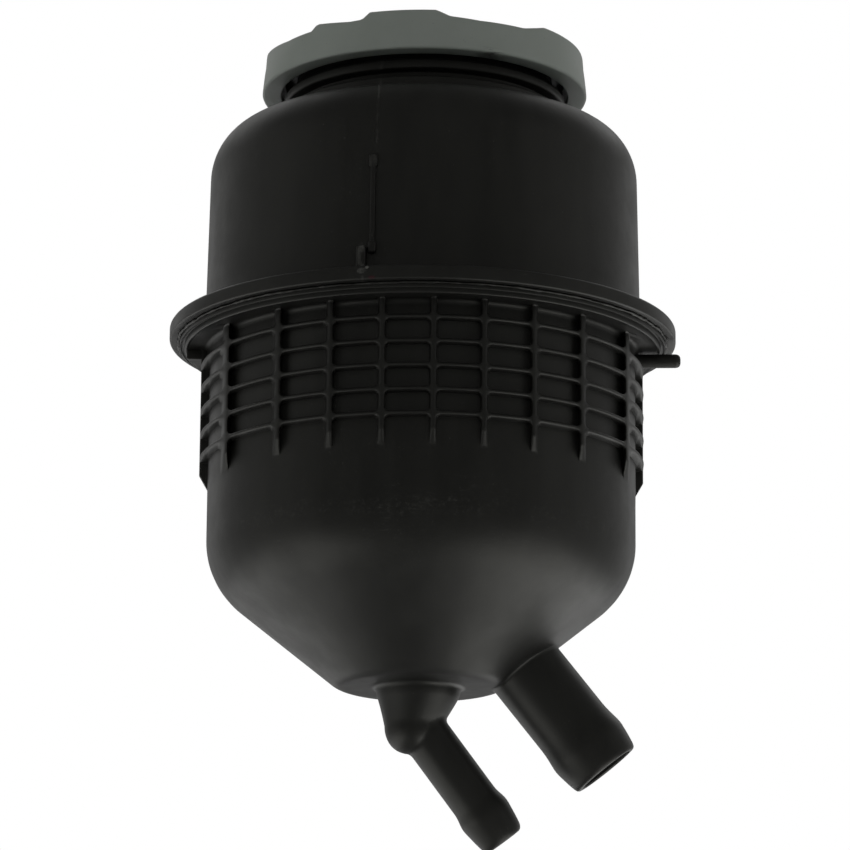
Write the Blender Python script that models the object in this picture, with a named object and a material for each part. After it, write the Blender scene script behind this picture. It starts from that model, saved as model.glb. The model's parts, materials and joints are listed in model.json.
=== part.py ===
"""Power steering reservoir: two welded shells, a screw cap with a dipstick, and a filter.

Z = 0 is the flange's underside, where the reservoir sits in its ring bracket, and Z is the axis.
Both hose stubs lean towards +X.
"""
from math import atan2, cos, pi, radians, sin, sqrt, tan

import bmesh
import bpy
from mathutils import Matrix, Vector

MM = 0.001
SEGMENTS = 48
FILTER_SEGMENTS = 32
FIT_GAP = 0.3 * MM
RUN_GAP = 0.4 * MM

# Lower shell: wall, cone and bottom
BODY_R = 46.2 * MM
WALL = 2.5 * MM
WALL_DEPTH = 50.9 * MM
CONE_ANGLE = radians(38.8)
CONE_ROUND = 18.0 * MM
BOTTOM_R = 17.9 * MM
BOTTOM_ROUND = 5.0 * MM
SEAT_FILLET = 1.3 * MM

# Rib grid on the lower shell
RIB_DEPTH = 1.8 * MM
FIRST_ROW = 4.1 * MM
ROW_PITCH = 5.14 * MM
ROW_COUNT = 5
ROW_WIDTH = 0.9 * MM
RIB_PITCH = 10.66 * MM
RIB_WIDTH = 1.45 * MM
RIB_COUNT = 9
RIB_TAIL = 3.3 * MM
RIB_RUNOUT = 3.2 * MM
PULL_TURN = radians(2.8)

# Welded flange
FLANGE_REACH = 8.8 * MM
FLANGE_R = BODY_R + FLANGE_REACH
UPPER_FLANGE = 3.0 * MM
LOWER_FLANGE_R = FLANGE_R - 2.0 * MM
LOWER_FLANGE = 1.6 * MM
LIP_R = LOWER_FLANGE_R - 1.1 * MM
LIP_HEIGHT = 0.7 * MM
BAFFLE_LAND = 1.6 * MM

# Upper shell
DOME_R = BODY_R + 0.5 * MM
DOME_DRAFT = 0.6 * MM
DOME_START = 38.0 * MM
DOME_RISE = 11.5 * MM
DOME_RUN = 9.6 * MM
NECK_R = 28.4 * MM
NECK_BORE_R = 26.0 * MM
NECK_BASE_R = 31.7 * MM
NECK_BASE = 4.0 * MM
NECK_GROOVE = 1.8 * MM
COLLAR_R = 30.9 * MM
COLLAR = 2.4 * MM
NECK_LIP = 2.8 * MM

# Moulded marks on the upper shell
MARK_TURN = radians(-12.3)
MARK_RIB_WIDTH = 1.3 * MM
MARK_RIB_DEPTH = 0.8 * MM
MARK_RIB_LOW = 10.0 * MM
MARK_RIB_HIGH = 30.5 * MM
NUB_TURN = radians(-15.9)
NUB_WIDTH = 2.2 * MM
NUB_DEPTH = 1.5 * MM
NUB_LOW = 5.6 * MM
NUB_HIGH = 11.3 * MM

# Locating peg under the flange
PEG_R = 1.5 * MM
PEG_REACH = FLANGE_R + 1.1 * MM
PEG_TURN = radians(87.0)

# Web under the flange on the other parting line
WEB_DROP = 2.2 * MM
WEB_WIDTH = 1.4 * MM
WEB_REACH = LIP_R - 0.4 * MM

# Boss and return stub on the axis
BOSS_R = 8.9 * MM
BOSS_FLARE = 1.2 * MM
BOSS_TAPER = 2.9 * MM
BOSS_SHIFT = 0.35 * MM
BOSS_LEAN = 1.45 * MM
BOSS_HEIGHT = 14.5 * MM
RETURN_DROP = 8.26 * MM
RETURN_TILT = radians(38.0)
RETURN_TURN = radians(13.0)
RETURN_LENGTH = 30.4 * MM
RETURN_R = 5.15 * MM
RETURN_BEAD_R = 5.7 * MM
RETURN_BORE_R = 3.4 * MM
RISER_BORE_R = 4.3 * MM
SPIGOT_R = 6.8 * MM
SPIGOT_HEIGHT = 9.0 * MM

# Bead and nose of both stubs
BEAD_BACK = 8.5 * MM
BEAD_RUN = 2.2 * MM
STUB_NOSE = 1.0 * MM

# Suction stub, square to the cone
SUCTION_ON_CONE = 23.0 * MM
SUCTION_TURN = radians(3.0)
SUCTION_LENGTH = 27.1 * MM
SUCTION_R = 8.25 * MM
SUCTION_BEAD_R = 8.75 * MM
SUCTION_BORE_R = 6.2 * MM

# Cap
CAP_R = 35.7 * MM
CAP_DRAFT = 0.8 * MM
CAP_BORE_R = 31.5 * MM
CAP_RIM_DROP = 2.3 * MM
CAP_TOP = 2.1 * MM
CAP_DISH = 0.8 * MM
GRIP_RISE = 1.7 * MM
GRIP_WIDTH = 14.6 * MM
GRIP_TURN = radians(-8.0)
LUG_WIDTH = 6.5 * MM
LUG_TURNS = (radians(73.0), radians(253.0))
LUG_SPREAD = radians(52.0)
SNAP_DEPTH = 1.2 * MM
SNAP_HEIGHT = 0.8 * MM

# Plug, gasket, vent and dipstick
GASKET = 1.0 * MM
GASKET_R = 28.1 * MM
PLUG_FLANGE_R = 30.6 * MM
PLUG_FLANGE = 1.0 * MM
PLUG_DEPTH = 11.0 * MM
PLUG_WALL = 2.0 * MM
PLUG_FLOOR = 2.0 * MM
HUB_R = 6.4 * MM
HUB_DROP = 4.6 * MM
SWIVEL_R = 4.2 * MM
SWIVEL = 1.8 * MM
STEM_R = 2.8 * MM
VENT_PLACE = 14.0 * MM
VENT_R = 5.0 * MM
VENT_HOLE_R = 2.0 * MM
VENT_PORT_R = 0.8 * MM
VENT_PORTS = 4
BLADE_WIDTH = 8.0 * MM
BLADE_THICK = 2.2 * MM
BLADE_LENGTH = 57.6 * MM
LEVEL_MARKS = (19.0 * MM, 30.0 * MM)
LEVEL_NOTCH = 1.1 * MM

# Baffle plate
BAFFLE = 1.6 * MM
BAFFLE_SLOT = 0.5 * MM
BAFFLE_HOLES = 8
BAFFLE_HOLE_R = 6.0 * MM
BAFFLE_HOLE_PLACE = 31.0 * MM

# Filter
FILTER_R = 25.0 * MM
FILTER_HEIGHT = 28.0 * MM
FILTER_CAP = 2.5 * MM
FILTER_SKIRT = 4.0 * MM
FILTER_RIM = 1.0 * MM
CAGE_WALL = 2.0 * MM
CAGE_WINDOWS = 8
CAGE_ROWS = 2
CAGE_BAR = 3.0 * MM
MESH_WALL = 0.8 * MM
SEAL = 1.0 * MM
SEAL_WIDTH = 2.2 * MM
SOCKET_HEIGHT = 6.5 * MM
SHOULDER_HEIGHT = 1.6 * MM
COIL_R = 14.0 * MM
COIL_WIRE_R = 0.7 * MM
COIL_TURNS = 5

# Bypass valve on the filter's top plate
PORT_R = 6.0 * MM
DISC_R = 7.6 * MM
DISC = 1.6 * MM
BYPASS_COIL_R = 5.0 * MM
BYPASS_WIRE_R = 0.45 * MM
BYPASS_SPRING = 9.0 * MM
BYPASS_TURNS = 4
CAGE_TOP = 1.4 * MM
BYPASS_CAGE_WALL = 1.4 * MM
BYPASS_WINDOW = 5.0 * MM

# Heights that follow from the sizes above
BOTTOM_Z = -WALL_DEPTH - (BODY_R - BOTTOM_R) * tan(CONE_ANGLE)
FLOOR_Z = BOTTOM_Z + WALL
WELD_Z = LOWER_FLANGE + FIT_GAP
FLANGE_TOP_Z = WELD_Z + UPPER_FLANGE
GRID_R = BODY_R + RIB_DEPTH
GRID_END_Z = -FIRST_ROW - (ROW_COUNT - 1) * ROW_PITCH - RIB_TAIL
DOME_TOP_Z = DOME_START + DOME_RISE
BASE_TOP_Z = DOME_TOP_Z + NECK_BASE
GROOVE_TOP_Z = BASE_TOP_Z + NECK_GROOVE
COLLAR_TOP_Z = GROOVE_TOP_Z + COLLAR
NECK_TOP_Z = COLLAR_TOP_Z + NECK_LIP
GASKET_Z = NECK_TOP_Z + FIT_GAP
PLUG_UNDER_Z = GASKET_Z + GASKET + FIT_GAP
PLUG_TOP_Z = PLUG_UNDER_Z + PLUG_FLANGE
CEILING_Z = PLUG_TOP_Z + FIT_GAP
CAP_RIM_Z = NECK_TOP_Z - CAP_RIM_DROP
CAP_TOP_Z = CEILING_Z + CAP_TOP
PLUG_BOTTOM_Z = PLUG_UNDER_Z - PLUG_DEPTH
PLUG_R = NECK_BORE_R - RUN_GAP
PLUG_FLOOR_Z = PLUG_BOTTOM_Z + PLUG_FLOOR
HUB_Z = PLUG_BOTTOM_Z - HUB_DROP
HUB_FLOOR_Z = HUB_Z + (HUB_DROP + PLUG_FLOOR - SWIVEL - 3 * FIT_GAP) / 2
REBATE_R = BODY_R - WALL + BAFFLE_LAND
REBATE_Z = WELD_Z - FIT_GAP - BAFFLE - 3 * FIT_GAP
BAFFLE_R = REBATE_R - FIT_GAP
BAFFLE_Z = REBATE_Z + FIT_GAP
SHOULDER_Z = FLOOR_Z + SHOULDER_HEIGHT
SEAL_Z = SHOULDER_Z + FIT_GAP
SOCKET_Z = SEAL_Z + SEAL + FIT_GAP
FILTER_Z = SOCKET_Z + SOCKET_HEIGHT
MEDIA_Z = FILTER_Z + FILTER_CAP + FIT_GAP
MEDIA_TOP_Z = MEDIA_Z + FILTER_HEIGHT
TOP_PLATE_Z = MEDIA_TOP_Z + FIT_GAP
TOP_FACE_Z = TOP_PLATE_Z + FILTER_CAP
CAGE_R = FILTER_R - FILTER_RIM - FIT_GAP
MESH_R = CAGE_R - CAGE_WALL - FIT_GAP
DISC_Z = TOP_FACE_Z + FIT_GAP
SPRING_Z = DISC_Z + DISC + FIT_GAP
SPRING_TOP_Z = SPRING_Z + BYPASS_SPRING
BYPASS_R = DISC_R + RUN_GAP + BYPASS_CAGE_WALL
RETURN_Z = BOTTOM_Z - RETURN_DROP


def plastic(name, colour, roughness, metallic=0.0):
    """One Principled material."""
    material = bpy.data.materials.new(name)
    material.use_nodes = True
    shader = material.node_tree.nodes["Principled BSDF"]
    shader.inputs["Base Color"].default_value = (*colour, 1.0)
    shader.inputs["Roughness"].default_value = roughness
    shader.inputs["Metallic"].default_value = metallic
    material.diffuse_color = (*colour, 1.0)
    return material


def add_object(name, mesh, material):
    obj = bpy.data.objects.new(name, mesh)
    bpy.context.scene.collection.objects.link(obj)
    if material:
        mesh.materials.append(material)
    mesh.shade_smooth()
    mesh.set_sharp_from_angle(angle=radians(30))
    return obj


def finish(name, bm, material=None, matrix=None):
    """Turns a bmesh into an object with its faces pointing out."""
    if matrix:
        bmesh.ops.transform(bm, matrix=matrix, verts=bm.verts)
    bmesh.ops.recalc_face_normals(bm, faces=bm.faces)
    mesh = bpy.data.meshes.new(name)
    bm.to_mesh(mesh)
    bm.free()
    return add_object(name, mesh, material)


def circle(radius, segments):
    """Points round the axis. Rounding keeps the ones on X and Y exactly there, which Booleans need."""
    turns = [2 * pi * k / segments for k in range(segments)]
    return [(round(radius * cos(t), 9), round(radius * sin(t), 9)) for t in turns]


def spin(bm, section, segments=SEGMENTS, closed=False):
    """Turns a section of (radius, height) points about Z. Points on the axis become one point."""
    rings = []
    for r, z in section:
        if r == 0:
            rings.append([bm.verts.new((0, 0, z))] * segments)
        else:
            rings.append([bm.verts.new((x, y, z)) for x, y in circle(r, segments)])
    pairs = list(zip(rings, rings[1:]))
    if closed:
        pairs.append((rings[-1], rings[0]))
    for low, high in pairs:
        for k in range(segments):
            n = (k + 1) % segments
            corners = dict.fromkeys((low[k], low[n], high[n], high[k]))
            if len(corners) > 2:
                bm.faces.new(corners)


def turned(name, section, material=None, segments=SEGMENTS, closed=False, matrix=None):
    bm = bmesh.new()
    spin(bm, section, segments, closed)
    return finish(name, bm, material, matrix)


def ring_section(inner, outer, low, high):
    return [(inner, low), (outer, low), (outer, high), (inner, high)]


def add_box(bm, low, high, matrix=None):
    """A box between two corners, optionally moved by a matrix."""
    low, high = Vector(low), Vector(high)
    place = Matrix.Translation((low + high) / 2) @ Matrix.Diagonal((*(high - low), 1.0))
    bmesh.ops.create_cube(bm, size=1.0, matrix=(matrix or Matrix()) @ place)


def arc(centre, radius, start, end, steps):
    """Points on an arc of (radius, height), with angles from +R towards +Z."""
    turns = [start + (end - start) * k / steps for k in range(steps + 1)]
    return [(centre[0] + radius * cos(t), centre[1] + radius * sin(t)) for t in turns]


def use(target, tool, operation):
    """Adds an exact Boolean to a target and hides its tool."""
    modifier = target.modifiers.new(tool.name, "BOOLEAN")
    modifier.operation = operation
    modifier.solver = "EXACT"
    modifier.object = tool
    tool.hide_render = True
    tool.display_type = "WIRE"
    tool.hide_set(True)


def aim(start, tilt, turn):
    """A matrix whose Z runs down and out from a start, tilted from straight down."""
    way = Vector((sin(tilt) * cos(turn), sin(tilt) * sin(turn), -cos(tilt)))
    return Matrix.Translation(start) @ way.to_track_quat("Z", "Y").to_matrix().to_4x4()


def cone_section(offset, top_z):
    """Half section of the lower shell's skin, moved in by an offset, from the top to the axis."""
    wall_r = BODY_R - offset
    bottom_z = BOTTOM_Z + offset
    slope = tan(CONE_ANGLE)
    bottom_r = BOTTOM_R - offset * tan(CONE_ANGLE / 2)
    meet_z = bottom_z + (wall_r - bottom_r) * slope
    radius = CONE_ROUND - offset
    drop = radius * tan((pi / 2 - CONE_ANGLE) / 2)
    centre = (wall_r - radius, meet_z + drop)
    bend = arc(centre, radius, 0, CONE_ANGLE - pi / 2, 5)
    small = BOTTOM_ROUND - offset
    centre = (bottom_r - small * tan(CONE_ANGLE / 2), bottom_z + small)
    corner = arc(centre, small, CONE_ANGLE - pi / 2, -pi / 2, 2)
    return [(wall_r, top_z)] + bend + corner + [(0, bottom_z)]


def grid_envelope():
    """The ring that trims the ribs: rooted in the wall, with a run-out to the wall below."""
    root = (REBATE_R + BODY_R) / 2
    high_z = LIP_HEIGHT / 2
    tail_z = GRID_END_Z - RIB_RUNOUT * (GRID_R - root) / RIB_DEPTH
    section = [(root, high_z), (GRID_R, high_z), (GRID_R, GRID_END_Z), (root, tail_z)]
    return turned("grid_envelope", section, closed=True)


def grid_ribs():
    """Ribs in parallel planes, as a two-part mould leaves them, and a fin on each parting line."""
    bm = bmesh.new()
    turn = Matrix.Rotation(PULL_TURN, 4, "Z")
    reach = GRID_R + WALL
    low_z = GRID_END_Z - 2 * RIB_RUNOUT
    last = (RIB_COUNT - 1) / 2 * RIB_PITCH
    for k in range(RIB_COUNT):
        x = k * RIB_PITCH - last
        add_box(bm, (x - RIB_WIDTH / 2, -reach, low_z), (x + RIB_WIDTH / 2, reach, WALL), turn)
    start = last + RIB_WIDTH
    add_box(bm, (start, -RIB_WIDTH / 2, low_z), (reach, RIB_WIDTH / 2, WALL), turn)
    add_box(bm, (-reach, -RIB_WIDTH / 2, low_z), (-start, RIB_WIDTH / 2, WALL), turn)
    return finish("grid_ribs", bm)


def rib_grid():
    """Rows and ribs joined, then trimmed to the grid's outline."""
    bm = bmesh.new()
    for k in range(ROW_COUNT):
        z = -FIRST_ROW - k * ROW_PITCH
        section = ring_section(BODY_R - WALL, GRID_R + WALL, z - ROW_WIDTH / 2, z + ROW_WIDTH / 2)
        spin(bm, section, closed=True)
    grid = finish("rib_grid", bm)
    use(grid, grid_ribs(), "UNION")
    use(grid, grid_envelope(), "INTERSECT")
    return grid


def stub_section(radius, bead_r, length, start):
    """Outer section of a hose stub along its own axis, with a bead near the end."""
    bead = length - BEAD_BACK
    return [
        (0, start),
        (radius, start),
        (radius, bead),
        (bead_r, bead + BEAD_RUN),
        (radius - STUB_NOSE / 3, length - STUB_NOSE),
        (radius - STUB_NOSE, length),
        (0, length),
    ]


def suction_matrix():
    z = BOTTOM_Z + (SUCTION_ON_CONE - BOTTOM_R) * tan(CONE_ANGLE)
    start = Matrix.Rotation(SUCTION_TURN, 4, "Z") @ Vector((SUCTION_ON_CONE, 0, z))
    return aim(start, CONE_ANGLE, SUCTION_TURN)


def return_matrix():
    return aim(Vector((0, 0, RETURN_Z)), RETURN_TILT, RETURN_TURN)


def boss():
    """A tapered boss that leans a little away from the return stub and ends round."""
    bm = bmesh.new()
    rings = [(WALL / 2, BOSS_SHIFT, BOSS_R + BOSS_FLARE)]
    for k in range(1, 4):
        t = pi / 2 * k / 3
        rings.append((-BOSS_FLARE * sin(t), BOSS_SHIFT, BOSS_R + BOSS_FLARE * (1 - sin(t))))
    end_r = BOSS_R - BOSS_TAPER
    end_z = -(BOSS_HEIGHT - end_r)
    rings.append((end_z, BOSS_LEAN, end_r))
    for k in range(1, 4):
        t = pi / 2 * k / 4
        rings.append((end_z - end_r * sin(t), BOSS_LEAN, end_r * cos(t)))
    segments = 24
    loops = []
    for z, shift, r in rings:
        loops.append([bm.verts.new((x - shift, y, BOTTOM_Z + z)) for x, y in circle(r, segments)])
    for low, high in zip(loops, loops[1:]):
        for k in range(segments):
            n = (k + 1) % segments
            bm.faces.new((low[k], low[n], high[n], high[k]))
    bm.faces.new(loops[0])
    bm.faces.new(loops[-1])
    return finish("boss", bm)


def peg():
    start = BODY_R - WALL / 2
    ball = PEG_R / 2
    section = [
        (0, start),
        (PEG_R, start),
        (PEG_R, PEG_REACH - ball),
        (PEG_R - ball, PEG_REACH),
        (0, PEG_REACH),
    ]
    way = Vector((sin(PEG_TURN), -cos(PEG_TURN), 0))
    drop = Matrix.Translation((0, 0, -PEG_R - FIT_GAP))
    place = drop @ way.to_track_quat("Z", "Y").to_matrix().to_4x4()
    return turned("peg", section, segments=12, matrix=place)


def web():
    bm = bmesh.new()
    low = (-WEB_REACH, -WEB_WIDTH / 2, -WEB_DROP)
    high = (-BODY_R + WALL / 2, WEB_WIDTH / 2, LIP_HEIGHT / 2)
    add_box(bm, low, high, Matrix.Rotation(PULL_TURN, 4, "Z"))
    return finish("web", bm)


def make_lower_shell(material):
    top = [(0, LOWER_FLANGE), (LOWER_FLANGE_R, LOWER_FLANGE), (LOWER_FLANGE_R, LIP_HEIGHT)]
    lip = [(LIP_R, LIP_HEIGHT), (LIP_R, FIT_GAP), (LIP_R - FIT_GAP, 0)]
    fillet = arc((BODY_R + SEAT_FILLET, -SEAT_FILLET), SEAT_FILLET, pi / 2, pi, 3)
    outer = top + lip + fillet + cone_section(0, -SEAT_FILLET - FIT_GAP)
    shell = turned("lower_shell", outer, material)
    use(shell, boss(), "UNION")
    use(shell, peg(), "UNION")
    use(shell, web(), "UNION")
    inside = -SUCTION_R
    suction = stub_section(SUCTION_R, SUCTION_BEAD_R, SUCTION_LENGTH, inside)
    use(shell, turned("suction_stub", suction, segments=32, matrix=suction_matrix()), "UNION")
    returned = stub_section(RETURN_R, RETURN_BEAD_R, RETURN_LENGTH, 0)
    use(shell, turned("return_stub", returned, segments=24, matrix=return_matrix()), "UNION")

    use(shell, lower_hollow(), "DIFFERENCE")
    use(shell, rib_grid(), "UNION")
    weld = shell.modifiers.new("weld", "WELD")
    weld.merge_threshold = MM / 1000


def lower_hollow():
    """Everything that is open inside the lower shell: cavity, spigot, return passage, suction bore."""
    above = LOWER_FLANGE + WALL
    cavity = [(0, above), (REBATE_R, above), (REBATE_R, REBATE_Z)] + cone_section(WALL, REBATE_Z)
    hollow = turned("cavity", cavity)
    root = FLOOR_Z - WALL / 2
    shoulder_r = SPIGOT_R + SEAL_WIDTH + RUN_GAP
    spigot = [
        (0, root),
        (shoulder_r, root),
        (shoulder_r, SHOULDER_Z),
        (SPIGOT_R, SHOULDER_Z),
        (SPIGOT_R, SHOULDER_Z + SPIGOT_HEIGHT),
        (0, SHOULDER_Z + SPIGOT_HEIGHT),
    ]
    use(hollow, turned("spigot", spigot, segments=24), "DIFFERENCE")
    sump_z = RETURN_Z - 0.7 * RISER_BORE_R
    riser = [(0, sump_z), (RISER_BORE_R, sump_z), (RISER_BORE_R, FILTER_Z + WALL), (0, FILTER_Z + WALL)]
    passage = turned("riser_bore", riser, segments=24)
    bore = [(0, 0), (RETURN_BORE_R, 0), (RETURN_BORE_R, 2 * RETURN_LENGTH), (0, 2 * RETURN_LENGTH)]
    use(passage, turned("return_bore", bore, segments=24, matrix=return_matrix()), "UNION")
    use(hollow, passage, "UNION")
    start, end = -SUCTION_R, 2 * SUCTION_LENGTH
    bore = [(0, start), (SUCTION_BORE_R, start), (SUCTION_BORE_R, end), (0, end)]
    use(hollow, turned("suction_bore", bore, segments=32, matrix=suction_matrix()), "UNION")
    return hollow


def dome_wall(z):
    """Outer radius of the upper shell's wall, which widens a little towards the flange."""
    return DOME_R + DOME_DRAFT * (DOME_START - z) / (DOME_START - FLANGE_TOP_Z)


def dome(offset, steps):
    """Elliptical shoulder, moved in by an offset."""
    run, rise = DOME_RUN, DOME_RISE
    turns = [pi / 2 * k / steps for k in range(steps + 1)]
    centre = DOME_R - DOME_RUN
    return [(centre - offset + run * cos(t), DOME_START + (rise - offset) * sin(t)) for t in turns]


def mark_box(bm, turn, width, depth, low, high):
    """A block on the outside of the upper shell's wall."""
    face = max(dome_wall(low), dome_wall(high))
    matrix = Matrix.Rotation(turn, 4, "Z")
    add_box(bm, (-width / 2, -face - depth, low), (width / 2, -face + WALL / 2, high), matrix)


def make_upper_shell(material):
    wall_r = dome_wall(FLANGE_TOP_Z)
    edge = 0.5 * MM
    flange = [
        (REBATE_R - FIT_GAP, WELD_Z),
        (FLANGE_R - edge / 2, WELD_Z),
        (FLANGE_R, WELD_Z + edge / 2),
        (FLANGE_R, FLANGE_TOP_Z - edge),
        (FLANGE_R - edge, FLANGE_TOP_Z),
        (wall_r + edge, FLANGE_TOP_Z),
        (wall_r, FLANGE_TOP_Z + edge),
    ]
    base = [
        (NECK_BASE_R + edge, DOME_TOP_Z),
        (NECK_BASE_R, DOME_TOP_Z + edge),
        (NECK_BASE_R, BASE_TOP_Z - edge),
        (NECK_BASE_R - edge, BASE_TOP_Z),
    ]
    collar = [
        (NECK_R, BASE_TOP_Z),
        (NECK_R, GROOVE_TOP_Z),
        (COLLAR_R - edge, GROOVE_TOP_Z),
        (COLLAR_R, GROOVE_TOP_Z + edge),
        (COLLAR_R, COLLAR_TOP_Z - edge),
        (COLLAR_R - edge, COLLAR_TOP_Z),
    ]
    neck = [(NECK_R, COLLAR_TOP_Z), (NECK_R, NECK_TOP_Z), (NECK_BORE_R, NECK_TOP_Z)]
    ceiling = DOME_TOP_Z - WALL
    inside = [(NECK_BORE_R, ceiling)] + dome(WALL, 5)[::-1]
    clamp_r = REBATE_R - BAFFLE_LAND
    clamp_z = BAFFLE_Z + BAFFLE + FIT_GAP
    clamp = [(clamp_r, FLANGE_TOP_Z), (clamp_r, clamp_z), (REBATE_R - FIT_GAP, clamp_z)]
    section = flange + dome(0, 6) + base + collar + neck + inside + clamp
    shell = turned("upper_shell", section, material, closed=True)
    bm = bmesh.new()
    mark_box(bm, MARK_TURN, MARK_RIB_WIDTH, MARK_RIB_DEPTH, MARK_RIB_LOW, MARK_RIB_HIGH)
    mark_box(bm, NUB_TURN, NUB_WIDTH, NUB_DEPTH, NUB_LOW, NUB_HIGH)
    use(shell, finish("moulded_marks", bm), "UNION")


def sector(bm, turn, spread, inner, outer, low, high):
    """A block of a ring, between two radii and two heights, centred on a turn from the front."""
    steps = 8
    turns = [turn - pi / 2 + spread * (k / steps - 0.5) for k in range(steps + 1)]
    loops = []
    for t in turns:
        points = ((inner, low), (outer, low), (outer, high), (inner, high))
        loops.append([bm.verts.new((r * cos(t), r * sin(t), z)) for r, z in points])
    for near, far in zip(loops, loops[1:]):
        for k in range(4):
            n = (k + 1) % 4
            bm.faces.new((near[k], near[n], far[n], far[k]))
    bm.faces.new(loops[0])
    bm.faces.new(loops[-1])


def make_cap_shell(material):
    edge = 0.6 * MM
    top_r = CAP_R - CAP_DRAFT
    dish_z = CAP_TOP_Z - CAP_DISH
    snap_top = PLUG_UNDER_Z - RUN_GAP
    section = [
        (0, dish_z),
        (top_r - LUG_WIDTH, dish_z),
        (top_r - LUG_WIDTH + edge, CAP_TOP_Z),
        (top_r - edge, CAP_TOP_Z),
        (top_r, CAP_TOP_Z - edge),
        (CAP_R, CAP_RIM_Z + edge),
        (CAP_R - edge, CAP_RIM_Z),
        (CAP_BORE_R, CAP_RIM_Z),
        (CAP_BORE_R, snap_top - 2 * SNAP_HEIGHT),
        (CAP_BORE_R - SNAP_DEPTH, snap_top - SNAP_HEIGHT),
        (CAP_BORE_R, snap_top),
        (CAP_BORE_R, CEILING_Z),
        (0, CEILING_Z),
    ]
    cap = turned("cap_shell", section, material)
    grips = bmesh.new()
    turn = Matrix.Rotation(GRIP_TURN, 4, "Z")
    low_z = dish_z - CAP_TOP / 3
    high_z = CAP_TOP_Z + GRIP_RISE
    half = GRIP_WIDTH / 2
    add_box(grips, (-half, -CAP_R, low_z), (half, CAP_R, high_z), turn)
    bar = finish("grip_bar", grips)
    trim_r = top_r - FIT_GAP
    trim_low, trim_high = low_z - MM, high_z + MM
    trim = [(0, trim_low), (trim_r, trim_low), (trim_r, trim_high), (0, trim_high)]
    use(bar, turned("grip_trim", trim), "INTERSECT")
    use(cap, bar, "UNION")
    lugs = bmesh.new()
    for lug_turn in LUG_TURNS:
        sector(lugs, lug_turn, LUG_SPREAD, top_r - LUG_WIDTH + 2 * edge, trim_r, low_z, high_z)
    use(cap, finish("grip_lugs", lugs), "UNION")


def make_cap_plug(material):
    edge = 0.6 * MM
    cup_r = PLUG_R - PLUG_WALL
    cell_r = SWIVEL_R + RUN_GAP
    section = [
        (0, PLUG_FLOOR_Z),
        (cup_r, PLUG_FLOOR_Z),
        (cup_r, PLUG_TOP_Z),
        (PLUG_FLANGE_R, PLUG_TOP_Z),
        (PLUG_FLANGE_R, PLUG_UNDER_Z),
        (PLUG_R, PLUG_UNDER_Z),
        (PLUG_R, PLUG_BOTTOM_Z + edge),
        (PLUG_R - edge, PLUG_BOTTOM_Z),
        (HUB_R, PLUG_BOTTOM_Z),
        (HUB_R, HUB_Z),
        (STEM_R + RUN_GAP, HUB_Z),
        (STEM_R + RUN_GAP, HUB_FLOOR_Z),
        (cell_r, HUB_FLOOR_Z),
        (cell_r, HUB_FLOOR_Z + SWIVEL + 2 * FIT_GAP),
        (0, HUB_FLOOR_Z + SWIVEL + 2 * FIT_GAP),
    ]
    plug = turned("cap_plug", section, material)
    holes = bmesh.new()
    low, high = PLUG_BOTTOM_Z - PLUG_FLOOR, PLUG_FLOOR_Z + PLUG_FLOOR
    cylinder(holes, (VENT_PLACE, 0), VENT_HOLE_R, low, high, 16)
    for k in range(VENT_PORTS):
        t = 2 * pi * (k + 0.5) / VENT_PORTS
        reach = (VENT_R + VENT_HOLE_R) / 2
        place = (VENT_PLACE + reach * cos(t), reach * sin(t))
        cylinder(holes, place, VENT_PORT_R, low, high, 8)
    use(plug, finish("vent_holes", holes), "DIFFERENCE")


def cylinder(bm, place, radius, low, high, segments):
    matrix = Matrix.Translation((*place, (low + high) / 2))
    bmesh.ops.create_cone(bm, cap_ends=True, segments=segments, radius1=radius, radius2=radius,
                          depth=high - low, matrix=matrix)


def make_gasket(material):
    section = ring_section(NECK_BORE_R + FIT_GAP, GASKET_R, GASKET_Z, GASKET_Z + GASKET)
    turned("cap_gasket", section, material, closed=True)


def make_vent_valve(material):
    top = PLUG_FLOOR_Z + FIT_GAP
    bulb = VENT_HOLE_R + FIT_GAP
    stem = VENT_HOLE_R - FIT_GAP
    under = PLUG_BOTTOM_Z - FIT_GAP
    thick = VENT_R / 6
    section = [
        (0, top + 1.6 * thick),
        (VENT_R / 2, top + 1.3 * thick),
        (VENT_R, top + thick / 2),
        (VENT_R, top),
        (stem, top),
        (stem, under),
        (bulb, under),
        (bulb, under - thick),
        (stem, under - 2 * thick),
        (0, under - 2.5 * thick),
    ]
    turned("vent_valve", section, material, segments=24, matrix=Matrix.Translation((VENT_PLACE, 0, 0)))


def make_dipstick(material):
    """Swivel head, stem and a flat blade with two pairs of notches."""
    head_z = HUB_FLOOR_Z + FIT_GAP
    blade_top = HUB_Z - STEM_R / 2
    shoulder = BLADE_WIDTH / 2
    section = [
        (0, head_z + SWIVEL),
        (SWIVEL_R, head_z + SWIVEL),
        (SWIVEL_R, head_z),
        (STEM_R, head_z),
        (STEM_R, blade_top),
        (shoulder, blade_top - BLADE_THICK / 2),
        (shoulder, blade_top - 1.5 * BLADE_THICK),
        (0, blade_top - 2 * BLADE_THICK),
    ]
    stick = turned("dipstick", section, material, segments=24)
    low = HUB_Z - BLADE_LENGTH
    half = BLADE_WIDTH / 2 - FIT_GAP
    notch = LEVEL_NOTCH
    right = [(half - 2 * notch, low), (half, low + 2 * notch)]
    for height in LEVEL_MARKS:
        z = low + height
        right += [(half, z - notch), (half - notch, z), (half, z + notch)]
    right.append((half, blade_top - BLADE_THICK))
    outline = right + [(-x, z) for x, z in reversed(right)]
    bm = bmesh.new()
    front = [bm.verts.new((x, -BLADE_THICK / 2, z)) for x, z in outline]
    back = [bm.verts.new((x, BLADE_THICK / 2, z)) for x, z in outline]
    for k in range(len(outline)):
        n = (k + 1) % len(outline)
        bm.faces.new((front[k], front[n], back[n], back[k]))
    bm.faces.new(front)
    bm.faces.new(back)
    use(stick, finish("blade", bm), "UNION")


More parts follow.
